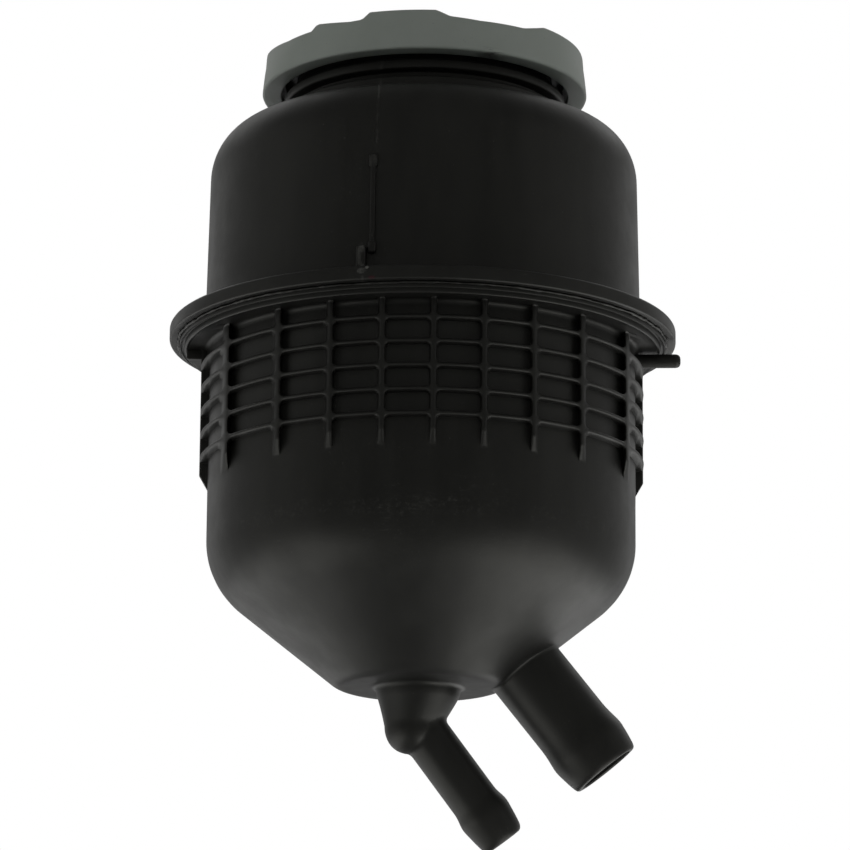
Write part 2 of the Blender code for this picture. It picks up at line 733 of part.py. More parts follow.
def make_baffle(material):
    hub_r = COIL_R + 2 * COIL_WIRE_R
    section = [
        (0, BAFFLE_Z),
        (BAFFLE_R, BAFFLE_Z),
        (BAFFLE_R, BAFFLE_Z + BAFFLE),
        (hub_r, BAFFLE_Z + BAFFLE),
        (hub_r - MM, BAFFLE_Z + 1.6 * BAFFLE),
        (0, BAFFLE_Z + 1.6 * BAFFLE),
    ]
    plate = turned("baffle_plate", section, material)
    cuts = bmesh.new()
    low, high = BAFFLE_Z - BAFFLE, BAFFLE_Z + 3 * BAFFLE
    x, y = BLADE_WIDTH / 2 + BAFFLE_SLOT, BLADE_THICK / 2 + BAFFLE_SLOT
    add_box(cuts, (-x, -y, low), (x, y, high))
    for k in range(BAFFLE_HOLES):
        t = 2 * pi * (k + 0.5) / BAFFLE_HOLES
        place = (BAFFLE_HOLE_PLACE * cos(t), BAFFLE_HOLE_PLACE * sin(t))
        cylinder(cuts, place, BAFFLE_HOLE_R, low, high, 16)
    use(plate, finish("baffle_cuts", cuts), "DIFFERENCE")


def coil(name, radius, wire_r, low, high, turns, material):
    """A compression spring whose end coils lie flat, between two heights."""
    around, steps = 6, turns * 12
    bottom, top = low + wire_r, high - wire_r
    bm = bmesh.new()
    loops = []
    for k in range(steps + 1):
        share = k / steps
        flat = 1 / turns
        rise = min(max((share - flat) / (1 - 2 * flat), 0), 1)
        lead = 2 * wire_r + FIT_GAP
        nest = lead * (min(share / flat, 1) + max(share - 1 + flat, 0) / flat)
        z = bottom + nest + (top - bottom - 2 * lead) * rise
        t = 2 * pi * turns * share
        centre = Vector((radius * cos(t), radius * sin(t), z))
        out = Vector((cos(t), sin(t), 0))
        loops.append([
            bm.verts.new(centre + wire_r * (out * cos(a) + Vector((0, 0, sin(a)))))
            for a in (2 * pi * m / around for m in range(around))
        ])
    for near, far in zip(loops, loops[1:]):
        for m in range(around):
            n = (m + 1) % around
            bm.faces.new((near[m], near[n], far[n], far[m]))
    bm.faces.new(loops[0])
    bm.faces.new(loops[-1])
    finish(name, bm, material)


def make_filter(frame_material, mesh_material, rubber):
    rim_r = FILTER_R - FILTER_RIM
    bottom = [
        (SPIGOT_R + RUN_GAP, SOCKET_Z),
        (SPIGOT_R + SEAL_WIDTH, SOCKET_Z),
        (SPIGOT_R + SEAL_WIDTH, FILTER_Z),
        (FILTER_R, FILTER_Z),
        (FILTER_R, FILTER_Z + FILTER_CAP + FILTER_SKIRT),
        (rim_r, FILTER_Z + FILTER_CAP + FILTER_SKIRT),
        (rim_r, FILTER_Z + FILTER_CAP),
        (SPIGOT_R + RUN_GAP, FILTER_Z + FILTER_CAP),
    ]
    turned("filter_bottom_plate", bottom, frame_material, FILTER_SEGMENTS, closed=True)
    top = [
        (PORT_R, TOP_PLATE_Z),
        (rim_r, TOP_PLATE_Z),
        (rim_r, TOP_PLATE_Z - FILTER_SKIRT),
        (FILTER_R, TOP_PLATE_Z - FILTER_SKIRT),
        (FILTER_R, TOP_FACE_Z),
        (PORT_R, TOP_FACE_Z),
    ]
    turned("filter_top_plate", top, frame_material, FILTER_SEGMENTS, closed=True)
    inner = ring_section(MESH_R - MESH_WALL, MESH_R, MEDIA_Z, MEDIA_TOP_Z)
    turned("filter_mesh", inner, mesh_material, FILTER_SEGMENTS, closed=True)
    tube = ring_section(CAGE_R - CAGE_WALL, CAGE_R, MEDIA_Z, MEDIA_TOP_Z)
    cage = turned("filter_cage", tube, frame_material, FILTER_SEGMENTS, closed=True)
    windows = bmesh.new()
    tall = (FILTER_HEIGHT - (CAGE_ROWS + 1) * CAGE_BAR - 2 * FILTER_SKIRT + 2 * CAGE_BAR) / CAGE_ROWS
    wide = 2 * pi * CAGE_R / CAGE_WINDOWS - CAGE_BAR
    for row in range(CAGE_ROWS):
        low = MEDIA_Z + FILTER_SKIRT + row * (tall + CAGE_BAR)
        for k in range(CAGE_WINDOWS):
            turn = Matrix.Rotation(2 * pi * (k + 0.5) / CAGE_WINDOWS, 4, "Z")
            near = CAGE_R - 3 * CAGE_WALL
            add_box(windows, (-wide / 2, near, low), (wide / 2, CAGE_R + CAGE_WALL, low + tall), turn)
    use(cage, finish("cage_windows", windows), "DIFFERENCE")
    seal = ring_section(SPIGOT_R + RUN_GAP, SPIGOT_R + SEAL_WIDTH, SEAL_Z, SEAL_Z + SEAL)
    turned("filter_seal", seal, rubber, segments=24, closed=True)


def make_bypass(material, steel):
    disc = [(0, DISC_Z), (DISC_R, DISC_Z), (DISC_R, DISC_Z + DISC), (0, DISC_Z + DISC)]
    turned("bypass_disc", disc, material, segments=24)
    coil("bypass_spring", BYPASS_COIL_R, BYPASS_WIRE_R, SPRING_Z, SPRING_TOP_Z, BYPASS_TURNS, steel)
    inner = BYPASS_R - BYPASS_CAGE_WALL
    roof = SPRING_TOP_Z + FIT_GAP
    section = [
        (inner, DISC_Z),
        (BYPASS_R + BYPASS_CAGE_WALL, DISC_Z),
        (BYPASS_R + BYPASS_CAGE_WALL, DISC_Z + BYPASS_CAGE_WALL),
        (BYPASS_R, DISC_Z + BYPASS_CAGE_WALL),
        (BYPASS_R, roof + CAGE_TOP),
        (BYPASS_COIL_R / 2, roof + CAGE_TOP),
        (BYPASS_COIL_R / 2, roof),
        (inner, roof),
    ]
    cage = turned("bypass_cage", section, material, segments=32, closed=True)
    cuts = bmesh.new()
    for k in range(2):
        turn = Matrix.Rotation(pi / 2 * k, 4, "Z")
        low = DISC_Z + 2 * BYPASS_CAGE_WALL
        reach = 2 * BYPASS_R
        add_box(cuts, (-reach, -BYPASS_WINDOW / 2, low), (reach, BYPASS_WINDOW / 2, roof - CAGE_TOP), turn)
    first, second = split_cuts(cuts)
    use(cage, first, "DIFFERENCE")
    use(cage, second, "DIFFERENCE")


def split_cuts(bm):
    """Two crossing boxes as two separate cutters."""
    bm.verts.ensure_lookup_table()
    other = bm.copy()
    half = len(bm.verts) // 2
    bmesh.ops.delete(bm, geom=bm.verts[half:], context="VERTS")
    other.verts.ensure_lookup_table()
    bmesh.ops.delete(other, geom=other.verts[:half], context="VERTS")
    return finish("bypass_cut_x", bm), finish("bypass_cut_y", other)


def main():
    for obj in list(bpy.data.objects):
        bpy.data.objects.remove(obj)
    black = plastic("black_nylon", (0.008, 0.008, 0.0075), 0.45)
    green = plastic("cap_grey_green", (0.14, 0.155, 0.138), 0.45)
    plug = plastic("plug_black", (0.012, 0.012, 0.012), 0.5)
    rubber = plastic("rubber", (0.015, 0.015, 0.015), 0.8)
    natural = plastic("filter_frame", (0.55, 0.53, 0.47), 0.5)
    mesh = plastic("filter_mesh_cloth", (0.72, 0.71, 0.66), 0.8)
    stick = plastic("dipstick_plastic", (0.06, 0.06, 0.06), 0.45)
    steel = plastic("spring_steel", (0.55, 0.55, 0.56), 0.3, 1.0)
    make_lower_shell(black)
    make_upper_shell(black)
    make_cap_shell(green)
    make_cap_plug(plug)
    make_gasket(rubber)
    make_vent_valve(rubber)
    make_dipstick(stick)
    make_baffle(natural)
    coil("filter_spring", COIL_R, COIL_WIRE_R, TOP_FACE_Z + FIT_GAP, BAFFLE_Z - FIT_GAP, COIL_TURNS, steel)
    make_filter(natural, mesh, rubber)
    make_bypass(natural, steel)


main()
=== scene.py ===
# %% [markdown]
# # A power steering reservoir, dressed for its photograph
#
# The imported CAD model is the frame: it has the right places and sizes, with coarse facets. This
# script puts finer skins over the pieces that show, gives every piece a finish, and adds a camera
# and soft studio light. Lengths are written in millimetres and turned into metres once.

# %% Load the frame
import json
from math import asin, cos, pi, radians, sin, sqrt, tan

import bmesh
import bpy
import numpy as np
from mathutils import Matrix, Vector
from mathutils.bvhtree import BVHTree

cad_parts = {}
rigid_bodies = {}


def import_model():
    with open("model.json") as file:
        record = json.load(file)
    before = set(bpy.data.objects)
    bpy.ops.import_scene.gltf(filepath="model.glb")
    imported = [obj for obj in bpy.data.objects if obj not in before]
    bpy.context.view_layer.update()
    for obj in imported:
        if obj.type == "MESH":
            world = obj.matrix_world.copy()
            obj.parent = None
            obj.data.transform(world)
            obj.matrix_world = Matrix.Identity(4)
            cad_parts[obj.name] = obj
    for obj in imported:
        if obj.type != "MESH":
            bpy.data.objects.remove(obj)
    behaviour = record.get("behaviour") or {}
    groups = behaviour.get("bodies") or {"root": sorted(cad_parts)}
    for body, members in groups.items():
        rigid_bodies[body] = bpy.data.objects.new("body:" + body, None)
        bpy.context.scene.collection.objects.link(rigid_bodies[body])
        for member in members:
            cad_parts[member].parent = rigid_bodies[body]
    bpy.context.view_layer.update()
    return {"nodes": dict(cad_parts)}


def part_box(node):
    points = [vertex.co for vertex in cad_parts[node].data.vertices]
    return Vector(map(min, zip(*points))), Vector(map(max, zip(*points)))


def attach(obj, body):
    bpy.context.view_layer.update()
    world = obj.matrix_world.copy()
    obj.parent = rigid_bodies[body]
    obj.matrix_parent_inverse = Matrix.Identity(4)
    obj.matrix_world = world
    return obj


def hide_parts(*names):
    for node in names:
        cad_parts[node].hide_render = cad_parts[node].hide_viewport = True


for leftover in list(bpy.data.objects):
    bpy.data.objects.remove(leftover)
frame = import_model()
MM = 0.001

# %% [markdown]
# ## Turning sections into skins
#
# Nearly every moulded part here is round, so one helper lays rings of points one above the other
# and joins them with faces. A ring may have any shape, which also covers ribs and leaning bosses.

# %% Meshes from rings of points
def add(name, data):
    """A new object in the scene, for any data or for a bmesh that is no longer needed."""
    if isinstance(data, bmesh.types.BMesh):
        source, data = data, bpy.data.meshes.new(name)
        source.to_mesh(data)
        source.free()
    obj = bpy.data.objects.new(name, data)
    bpy.context.scene.collection.objects.link(obj)
    return obj


def put(name, verts, faces, crease=35):
    """A mesh object in metres from points in millimetres, smooth except at creases."""
    mesh = bpy.data.meshes.new(name)
    mesh.from_pydata([tuple(v) for v in np.asarray(verts, float) * MM], [], faces)
    return tidy(add(name, mesh), crease)


def tidy(obj, crease):
    """Merges doubles, turns the faces outwards and shades smooth up to an angle."""
    bm = bmesh.new()
    bm.from_mesh(obj.data)
    bmesh.ops.remove_doubles(bm, verts=bm.verts, dist=0.0005 * MM)
    bmesh.ops.recalc_face_normals(bm, faces=bm.faces)
    bm.to_mesh(obj.data)
    bm.free()
    obj.data.shade_smooth()
    obj.data.set_sharp_from_angle(angle=radians(crease))
    return obj


def looped_faces(rows, columns):
    """Quads between rings that follow each other, and from the last ring to the first."""
    faces = []
    for j in range(rows):
        low, high = j * columns, (j + 1) % rows * columns
        for i in range(columns):
            n = (i + 1) % columns
            faces.append((low + i, low + n, high + n, high + i))
    return faces


def capped_faces(rows, columns):
    """Quads between rings that follow each other, and a face across each end."""
    last = (rows - 1) * columns
    ends = [tuple(range(columns)), tuple(range(last, last + columns))]
    return looped_faces(rows, columns)[:-columns] + ends


def even_turns(columns):
    return np.arange(columns) * 2 * pi / columns


def ring(radius, z, turns, shift=0.0):
    """Points round the axis, counted from the front. Radius and height may differ from turn to turn."""
    return np.stack([radius * np.sin(turns) + shift, -radius * np.cos(turns), z + 0 * turns], 1)


def tube_ring(place, radius, z, columns):
    """A ring round the Z of a place, from sizes in millimetres, as vectors in metres."""
    turns = even_turns(columns).tolist()
    return [place @ (Vector((radius * cos(t), radius * sin(t), z)) * MM) for t in turns]


def in_millimetres(rings):
    return np.array([list(v) for vectors in rings for v in vectors]) / MM


def round_corner(before, corner, after, radius, steps=4):
    """Replaces a corner of a section by an arc of a radius."""
    p, a, b = (np.array(v, float) for v in (corner, before, after))
    u, v = (a - p) / np.linalg.norm(a - p), (b - p) / np.linalg.norm(b - p)
    half = np.arccos(np.clip(u @ v, -1, 1)) / 2
    reach = radius / np.tan(half)
    centre = p + (u + v) / np.linalg.norm(u + v) * radius / np.sin(half)
    start, end = p + u * reach - centre, p + v * reach - centre
    points = []
    for k in range(steps + 1):
        w = start * np.cos(k / steps * pi / 2) + end * np.sin(k / steps * pi / 2)
        points.append(tuple(centre + w / np.linalg.norm(w) * radius))
    return points


def rounded(section):
    """Rounds an open section of (radius, height, corner radius). A corner radius of 0 keeps the corner."""
    points = []
    for k, (r, z, fillet) in enumerate(section):
        if fillet:
            points += round_corner(section[k - 1][:2], (r, z), section[k + 1][:2], fillet)
        else:
            points.append((r, z))
    return points


def soft_box(size, edge):
    """A box about the origin with rounded edges, as a bmesh."""
    bm = bmesh.new()
    bmesh.ops.create_cube(bm, size=1.0)
    bmesh.ops.scale(bm, vec=size, verts=bm.verts)
    bmesh.ops.bevel(bm, geom=bm.edges[:], offset=edge, segments=3, affect="EDGES", profile=0.5)
    return bm


print("helpers for round parts are ready")

# %% [markdown]
# ## The rule of the rib grid
#
# The real shell comes from a mould that opens to the front and the back. Its ribs therefore stand
# in parallel planes, all facing the way the mould opens, and the pockets between them have round
# corners and round floors. A modeller could cut a hundred pockets one by one. Here a Geometry
# Nodes tree holds the rule: each point knows where it lies on the pocket floor and where on the rib
# crest, and the tree moves it between the two by its distance from the nearest rib edge.

# %% Sizes of the lower shell
BODY_R = 46.2
GRID_R = 48.0
RIB_PITCH, RIB_WIDTH, LAST_RIB = 10.66, 0.7, 4
ROW_TOP, ROW_PITCH, ROW_WIDTH, LAST_ROW = -4.1, 5.14, 0.4, 4
POCKET_CORNER = 1.25
TAIL_TOP, TAIL_END = -28.0, -31.2
SEAT_FILLET, CREST_FILLET = 1.3, 0.35
PULL_TURN = radians(2.8)
FIN_HALF = 0.725
CONE_SLOPE = radians(38.8)
BOTTOM_R, BOTTOM_Z = 17.9, -73.654
CONE_ROUND, BOTTOM_ROUND = 18.0, 5.0
print("rows of the grid:", LAST_ROW + 1, "ribs in front:", 2 * LAST_RIB + 1)

# %% Where the lines of the mesh run
RIB_LINES = (0, 0.25, 0.35, 0.45, 0.55, 0.65, 0.79, 0.93, 1.13, 1.36, 1.6, 2.4, 3.8, 5.33)
ROW_LINES = (0, 0.2, 0.3, 0.4, 0.5, 0.64, 0.78, 0.98, 1.21, 1.45, 2.57)
FIN_LINES = 6


def column_turns():
    """Turns in degrees of the mesh's columns round the shell, dense along the edges of the ribs."""
    lines = {0.0}
    for k in range(LAST_RIB + 1):
        for offset in RIB_LINES:
            lines.update((k * RIB_PITCH + offset, k * RIB_PITCH - offset))
    edge = sqrt(BODY_R**2 - FIN_HALF**2)
    turns = sorted(np.degrees(np.arcsin(x / BODY_R)) for x in lines if 0 <= x < edge - 0.35)
    turns += [86.6, 88.0, float(np.degrees(np.arcsin(edge / BODY_R)))]
    out = [turns[0]]
    for turn in turns[1:]:
        gap = turn - out[-1]
        if gap < 0.05:
            continue
        steps = int(gap // 2.6) + 1
        out += [out[-1] + gap * (k + 1) / steps for k in range(steps)]
    fin = [out[-1] + (90 - out[-1]) * (k + 1) / FIN_LINES for k in range(FIN_LINES)]
    quarter = out + fin
    half = [-t for t in quarter[:0:-1]] + quarter
    return np.array(half[:-1] + [180 - t for t in half[::-1]][:-1])


def row_heights():
    """Heights of the mesh's rows, dense along the edges of the grid's rows."""
    lines = {0.0, -0.04, -0.12, -0.25, -0.4, -0.6, -0.85, -1.1, -1.3, -1.7}
    for k in range(LAST_ROW + 1):
        for offset in ROW_LINES:
            lines.update((ROW_TOP - k * ROW_PITCH + offset, ROW_TOP - k * ROW_PITCH - offset))
    low = ROW_TOP - LAST_ROW * ROW_PITCH - ROW_LINES[-2]
    lines = {z for z in lines if z <= 0 and z > low - 0.01}
    lines.update((-27.2, -27.7, TAIL_TOP, -28.3, -28.9, -29.7, -30.4, -30.9, TAIL_END))
    ordered = sorted(lines, reverse=True)
    return np.array([z for k, z in enumerate(ordered) if k == 0 or ordered[k - 1] - z > 0.03])


COLUMNS = column_turns()
if len(COLUMNS) % 2:
    raise ValueError("the columns must pair up")
ROWS = row_heights()
print("columns", len(COLUMNS), "rows", len(ROWS))

# %% Bend the mesh lines round the corners of the pockets
def round_pockets(x, z):
    """Moves points near a pocket's corner, so that lines which run along its edges turn round it."""
    rib = np.clip(np.round(x / RIB_PITCH), 0, LAST_RIB) * RIB_PITCH
    row = ROW_TOP - np.clip(np.round((ROW_TOP - z) / ROW_PITCH), 0, LAST_ROW) * ROW_PITCH
    across, up = np.abs(x - rib) - RIB_WIDTH / 2, np.abs(z - row) - ROW_WIDTH / 2
    near, far = np.minimum(across, up), np.maximum(across, up)
    turn = (POCKET_CORNER - far) / np.maximum(POCKET_CORNER - near, 1e-6) * pi / 4
    blend = np.where(far < POCKET_CORNER, np.clip(near / (ROW_WIDTH / 2) + 1, 0, 1), 0.0)
    bent_near = POCKET_CORNER - (POCKET_CORNER - near) * np.cos(turn)
    bent_far = POCKET_CORNER - (POCKET_CORNER - near) * np.sin(turn)
    new_near, new_far = near + blend * (bent_near - near), far + blend * (bent_far - far)
    new_across = np.where(across <= up, new_near, new_far)
    new_up = np.where(across <= up, new_far, new_near)
    side, level = np.sign(x - rib), np.sign(z - row)
    return rib + side * (new_across + RIB_WIDTH / 2), row + level * (new_up + ROW_WIDTH / 2)


moved = round_pockets(np.array([0.65]), np.array([ROW_TOP + 0.5]))
print("a corner point moves from (0.65, 0.5) to", [round(float(v[0]), 3) for v in moved])


# %% Two places for every point of the band
def grid_band():
    """Floor and crest places, and the place along the ribs' pitch, of each point of the band."""
    turn = np.radians(COLUMNS)
    across, along = np.sin(turn), -np.cos(turn)
    edge = np.degrees(np.arcsin(sqrt(BODY_R**2 - FIN_HALF**2) / BODY_R))
    from_side = 90 - np.abs(np.abs((COLUMNS + 180) % 360 - 180) - 90)
    on_fin = from_side > edge + 1e-6
    step = np.round((from_side - edge) / (90 - edge) * FIN_LINES).astype(int)
    share = np.array([0, 0.3, 0.65, 0.88, 1.0, 1.0, 1.0])[np.clip(step, 0, FIN_LINES)]
    inset = np.array([1, 1, 1, 1, 0.8, 0.4, 0.0])[np.clip(step, 0, FIN_LINES)] * FIN_HALF
    floors, crests, plans = [], [], []
    def flare(z, radius):
        """How far a fillet of a radius under the seat stands out at a height."""
        depth = np.clip(z + radius, 0, radius)
        return radius - np.sqrt(radius**2 - depth**2)

    for z in ROWS:
        plain_x, height = round_pockets(np.abs(across) * BODY_R, np.full(len(turn), z))
        height = np.where(on_fin, z, height)
        wall = BODY_R + flare(height, SEAT_FILLET)
        crest = GRID_R + flare(height, CREST_FILLET)
        crest += (BODY_R - GRID_R) * np.clip((TAIL_TOP - height) / (TAIL_TOP - TAIL_END), 0, 1)
        top = np.maximum(crest, wall)
        start = sqrt(BODY_R**2 - FIN_HALF**2)
        end = np.sqrt(top**2 - FIN_HALF**2)
        x = np.where(on_fin, start + (end - start) * share, plain_x)
        flush = np.maximum(wall**2 - x**2, 0) ** 0.5
        floor_y = (flush + FIN_HALF + np.hypot(flush - FIN_HALF, 0.3)) / 2
        crest_y = np.maximum(np.maximum(crest**2 - x**2, 0) ** 0.5, floor_y)
        fin_face = on_fin & (step >= 4)
        tip = np.sqrt(top**2 - inset**2)
        x = np.where(fin_face, tip, x)
        floor_y = np.where(fin_face, inset, floor_y)
        crest_y = np.where(fin_face, inset, crest_y)
        if z <= TAIL_END:
            x, floor_y = np.abs(across) * BODY_R, np.abs(along) * BODY_R
            crest_y = floor_y
        side, face = np.sign(across), np.where(np.abs(along) < 1e-9, 0, np.sign(along))
        floors.append(np.stack([side * x, face * floor_y, height], 1))
        crests.append(np.stack([side * x, face * crest_y, height], 1))
        plans.append(np.stack([side * x, height, np.zeros(len(turn))], 1))
    return np.array(floors), np.array(crests), np.array(plans)


FLOORS, CRESTS, PLANS = grid_band()
print("points in the band:", FLOORS.shape[0] * FLOORS.shape[1])

# %% [markdown]
# ## Geometry Nodes written as arithmetic
#
# A tree of maths nodes is hard to read as a list of links. A small class wraps a socket and gives
# it Python's operators, so a line of arithmetic adds its own Math nodes. The same class serves the
# materials further down.

# %% A socket that can be calculated with
def maths(operation):
    """A method that adds one Math node."""
    def method(self, *others):
        inputs = {0: self, **dict(enumerate(others, 1))}
        return self.sheet.node("ShaderNodeMath", {"operation": operation}, inputs)
    return method


class Value:
    """A number in a node tree. Arithmetic on it adds Math nodes."""

    def __init__(self, sheet, socket):
        self.sheet, self.socket = sheet, socket

    __add__ = __radd__ = maths("ADD")
    __mul__ = __rmul__ = maths("MULTIPLY")
    __sub__, __truediv__, __abs__ = maths("SUBTRACT"), maths("DIVIDE"), maths("ABSOLUTE")
    least, most, nearest, root = (maths(word) for word in ("MINIMUM", "MAXIMUM", "ROUND", "SQRT"))
    sine, arctan = maths("SINE"), maths("ARCTAN2")

    def __rsub__(self, other):
        return self.sheet.node("ShaderNodeMath", {"operation": "SUBTRACT"}, {0: other, 1: self})

    def ramp(self, start, end, low=0.0, high=1.0):
        """Goes smoothly from low to high while this value goes from start to end."""
        return self.sheet.node("ShaderNodeMapRange", {"interpolation_type": "SMOOTHSTEP"},
                               {0: self, 1: start, 2: end, 3: low, 4: high})


class Sheet:
    """Adds nodes to a tree: a type, its settings first, then the values or links of its inputs."""

    def __init__(self, tree):
        self.tree = tree

    def node(self, kind, settings=None, inputs=None, output=0):
        made = self.tree.nodes.new(kind)
        for key, setting in (settings or {}).items():
            setattr(made, key, setting)
        for key, given in (inputs or {}).items():
            socket = made.inputs[key]
            if isinstance(given, Value):
                self.tree.links.new(given.socket, socket)
            else:
                socket.default_value = given
        return Value(self, made.outputs[output])


print("node arithmetic is ready")

# %% [markdown]
# ## The grid's tree
#
# The tree measures how far a point lies inside its pocket, across and up. Near a corner it takes
# the distance to a round corner instead. A curve then says how high the plastic stands at that
# distance: full height on the crest, a steep wall, and a wide round floor.

# %% Build the rib grid tree
def new_tree(name, labels):
    """A modifier tree with a number for each label and a finish. Gives its sheet and its inputs."""
    tree = bpy.data.node_groups.new(name, "GeometryNodeTree")
    tree.is_modifier = True
    sockets = [("Geometry", "Geometry"), *((label, "Float") for label in labels), ("Finish", "Material")]
    for label, kind in sockets:
        tree.interface.new_socket(label, in_out="INPUT", socket_type="NodeSocket" + kind)
    tree.interface.new_socket("Geometry", in_out="OUTPUT", socket_type="NodeSocketGeometry")
    sheet, given = Sheet(tree), tree.nodes.new("NodeGroupInput")
    return sheet, {label: Value(sheet, given.outputs[label]) for label, _ in sockets}


def close_tree(sheet, geometry, given):
    """Ends a tree with real geometry that wears its finish."""
    real = sheet.node("GeometryNodeRealizeInstances", {}, {"Geometry": geometry})
    finish = sheet.node("GeometryNodeSetMaterial", {}, {"Geometry": real, "Material": given["Finish"]})
    leave = sheet.tree.nodes.new("NodeGroupOutput")
    sheet.tree.links.new(finish.socket, leave.inputs[0])
    return sheet.tree


def grid_tree(sizes):
    sheet, given = new_tree("moulded rib grid", sizes)

    def stored(label, kind="FLOAT_VECTOR"):
        return sheet.node("GeometryNodeInputNamedAttribute", {"data_type": kind}, {"Name": label})

    split = sheet.node("ShaderNodeSeparateXYZ", {}, {0: stored("plan")}).socket.node
    x, z = Value(sheet, split.outputs[0]), Value(sheet, split.outputs[1])
    rib = (x / given["Rib pitch"]).nearest().least(given["Last rib"]).most(0 - given["Last rib"])
    across = abs(x - rib * given["Rib pitch"]) - given["Rib width"] * 0.5
    row = ((given["Row top"] - z) / given["Row pitch"]).nearest().most(0).least(given["Last row"])
    up = abs(given["Row top"] - z - row * given["Row pitch"]) - given["Row width"] * 0.5
    corner = given["Pocket corner"]
    near_x, near_z = (corner - across).most(0), (corner - up).most(0)
    inside = corner - (near_x * near_x + near_z * near_z).root()
    low, high = -0.5, 1.5
    height = sheet.node("ShaderNodeFloatCurve", {}, {"Value": (inside - low) / (high - low)})
    curve = height.socket.node.mapping
    points = curve.curves[0].points
    points[0].location, points[1].location = (0, 1), (1, 0)
    for distance, level in RIDGE:
        points.new((distance - low) / (high - low), level)
    for point in points:
        point.handle_type = "VECTOR"
    curve.update()
    place = sheet.node("ShaderNodeMix", {"data_type": "VECTOR"},
                       {0: height, 4: stored("floor"), 5: stored("crest")}, output=1)
    moved = sheet.node("GeometryNodeSetPosition", {}, {
        "Geometry": given["Geometry"], "Selection": stored("in_band", "BOOLEAN"), "Position": place})
    return close_tree(sheet, moved, given)


def run_tree(obj, tree, values):
    """Runs a tree on an object and keeps the result as a plain mesh, with no modifier left."""
    modifier = obj.modifiers.new(tree.name, "NODES")
    modifier.node_group = tree
    for item in tree.interface.items_tree:
        if item.in_out == "INPUT" and item.name in values:
            modifier[item.identifier] = values[item.name]
    bpy.context.view_layer.update()
    result = obj.evaluated_get(bpy.context.evaluated_depsgraph_get())
    mesh = bpy.data.meshes.new_from_object(result)
    obj.modifiers.remove(modifier)
    obj.data = mesh
    return obj


GRID_SIZES = {
    "Rib pitch": RIB_PITCH, "Rib width": RIB_WIDTH, "Last rib": LAST_RIB, "Row top": ROW_TOP,
    "Row pitch": ROW_PITCH, "Row width": ROW_WIDTH, "Last row": LAST_ROW, "Pocket corner": POCKET_CORNER,
}
RIDGE = ((-0.35, 1), (-0.2, 0.996), (-0.1, 0.982), (0, 0.95), (0.1, 0.895), (0.2, 0.815), (0.3, 0.69),
         (0.44, 0))
GRID_TREE = grid_tree(GRID_SIZES)
print("the grid tree has", len(GRID_TREE.nodes), "nodes")

# %% [markdown]
# ## The lower shell
#
# Above the band come the seat, the lip and the welded face; below it the plain wall, the cone, the
# flat bottom and a boss that leans away from its stub. All of them share the band's columns, so the
# skin is one closed mesh with no seam. Inside, a plain wall follows 2.5 mm behind.

# %% Rings above and below the band
SKIN_TOP = [(49.4, 0.0), (50.7, 0.0), (50.85, -0.03), (51.0, -0.12), (51.2, -0.2), (51.4, -0.22),
            (51.57, -0.14), (51.66, 0.04), (51.7, 0.3), (51.72, 0.8), (51.78, 0.97), (51.95, 1.02),
            (52.3, 1.02), (52.42, 0.97), (52.5, 0.8), (52.58, 0.68), (52.68, 0.68), (52.77, 0.78),
            (52.8, 1.0), (52.8, 1.6)]


def cone_skin():
    """The plain wall, the large round, the cone and the flat bottom, as (radius, height)."""
    slope, bend = CONE_SLOPE, CONE_ROUND
    meet = BOTTOM_Z + (BODY_R - BOTTOM_R) * tan(slope)
    centre = (BODY_R - bend, meet + bend * tan((pi / 2 - slope) / 2))
    points = [(BODY_R, z) for z in (-31.8, -33.5, -36.0, -39.0)]
    for k in range(17):
        t = (slope - pi / 2) * k / 16
        points.append((centre[0] + bend * cos(t), centre[1] + bend * sin(t)))
    last, end = points[-1], (20.0, BOTTOM_Z + (20.0 - BOTTOM_R) * tan(slope))
    for share in (0.2, 0.4, 0.6, 0.8):
        points.append(tuple(a + (b - a) * share for a, b in zip(last, end)))
    points += round_corner(points[-1], (BOTTOM_R, BOTTOM_Z), (12.0, BOTTOM_Z), BOTTOM_ROUND, 8)
    return points + [(13.6, BOTTOM_Z), (11.6, BOTTOM_Z)]


def boss_rings():
    """Rings of the leaning boss, down to its round end."""
    root = [(0.0, 10.4), (-0.04, 10.0), (-0.15, 9.65), (-0.38, 9.33), (-0.72, 9.1), (-1.15, 8.96)]
    rings = [(BOTTOM_Z + z, r, -0.35) for z, r in root]
    end_z, end_r, lean = -82.0, 6.05, -1.45
    start_z, start_r = BOTTOM_Z - 1.8, 8.86
    for k in range(8):
        share = k / 7
        shift = -0.35 + (lean + 0.35) * share**1.3
        rings.append((start_z + (end_z - start_z) * share, start_r + (end_r - start_r) * share, shift))
    for k in range(1, 12):
        t = pi / 2 * k / 12
        rings.append((end_z - 5.9 * sin(t), end_r * cos(t) ** 0.78, lean))
    return rings


WALL = 2.5
INNER_SKIN = [(45.3, 1.6), (45.3, -0.9), (43.7, -0.9), (43.7, -20.0), (43.7, -42.3), (43.1, -46.5),
              (41.6, -50.1), (39.0, -53.5), (30.0, -60.72), (17.9, -70.45), (16.1, BOTTOM_Z + WALL),
              (9.4, BOTTOM_Z + WALL), (9.4, -69.55), (6.8, -69.55), (6.8, -60.55), (4.3, -60.55),
              (4.3, -82.0), (3.6, -83.8)]
print("rings above the band:", len(SKIN_TOP), "and below:", len(cone_skin()))

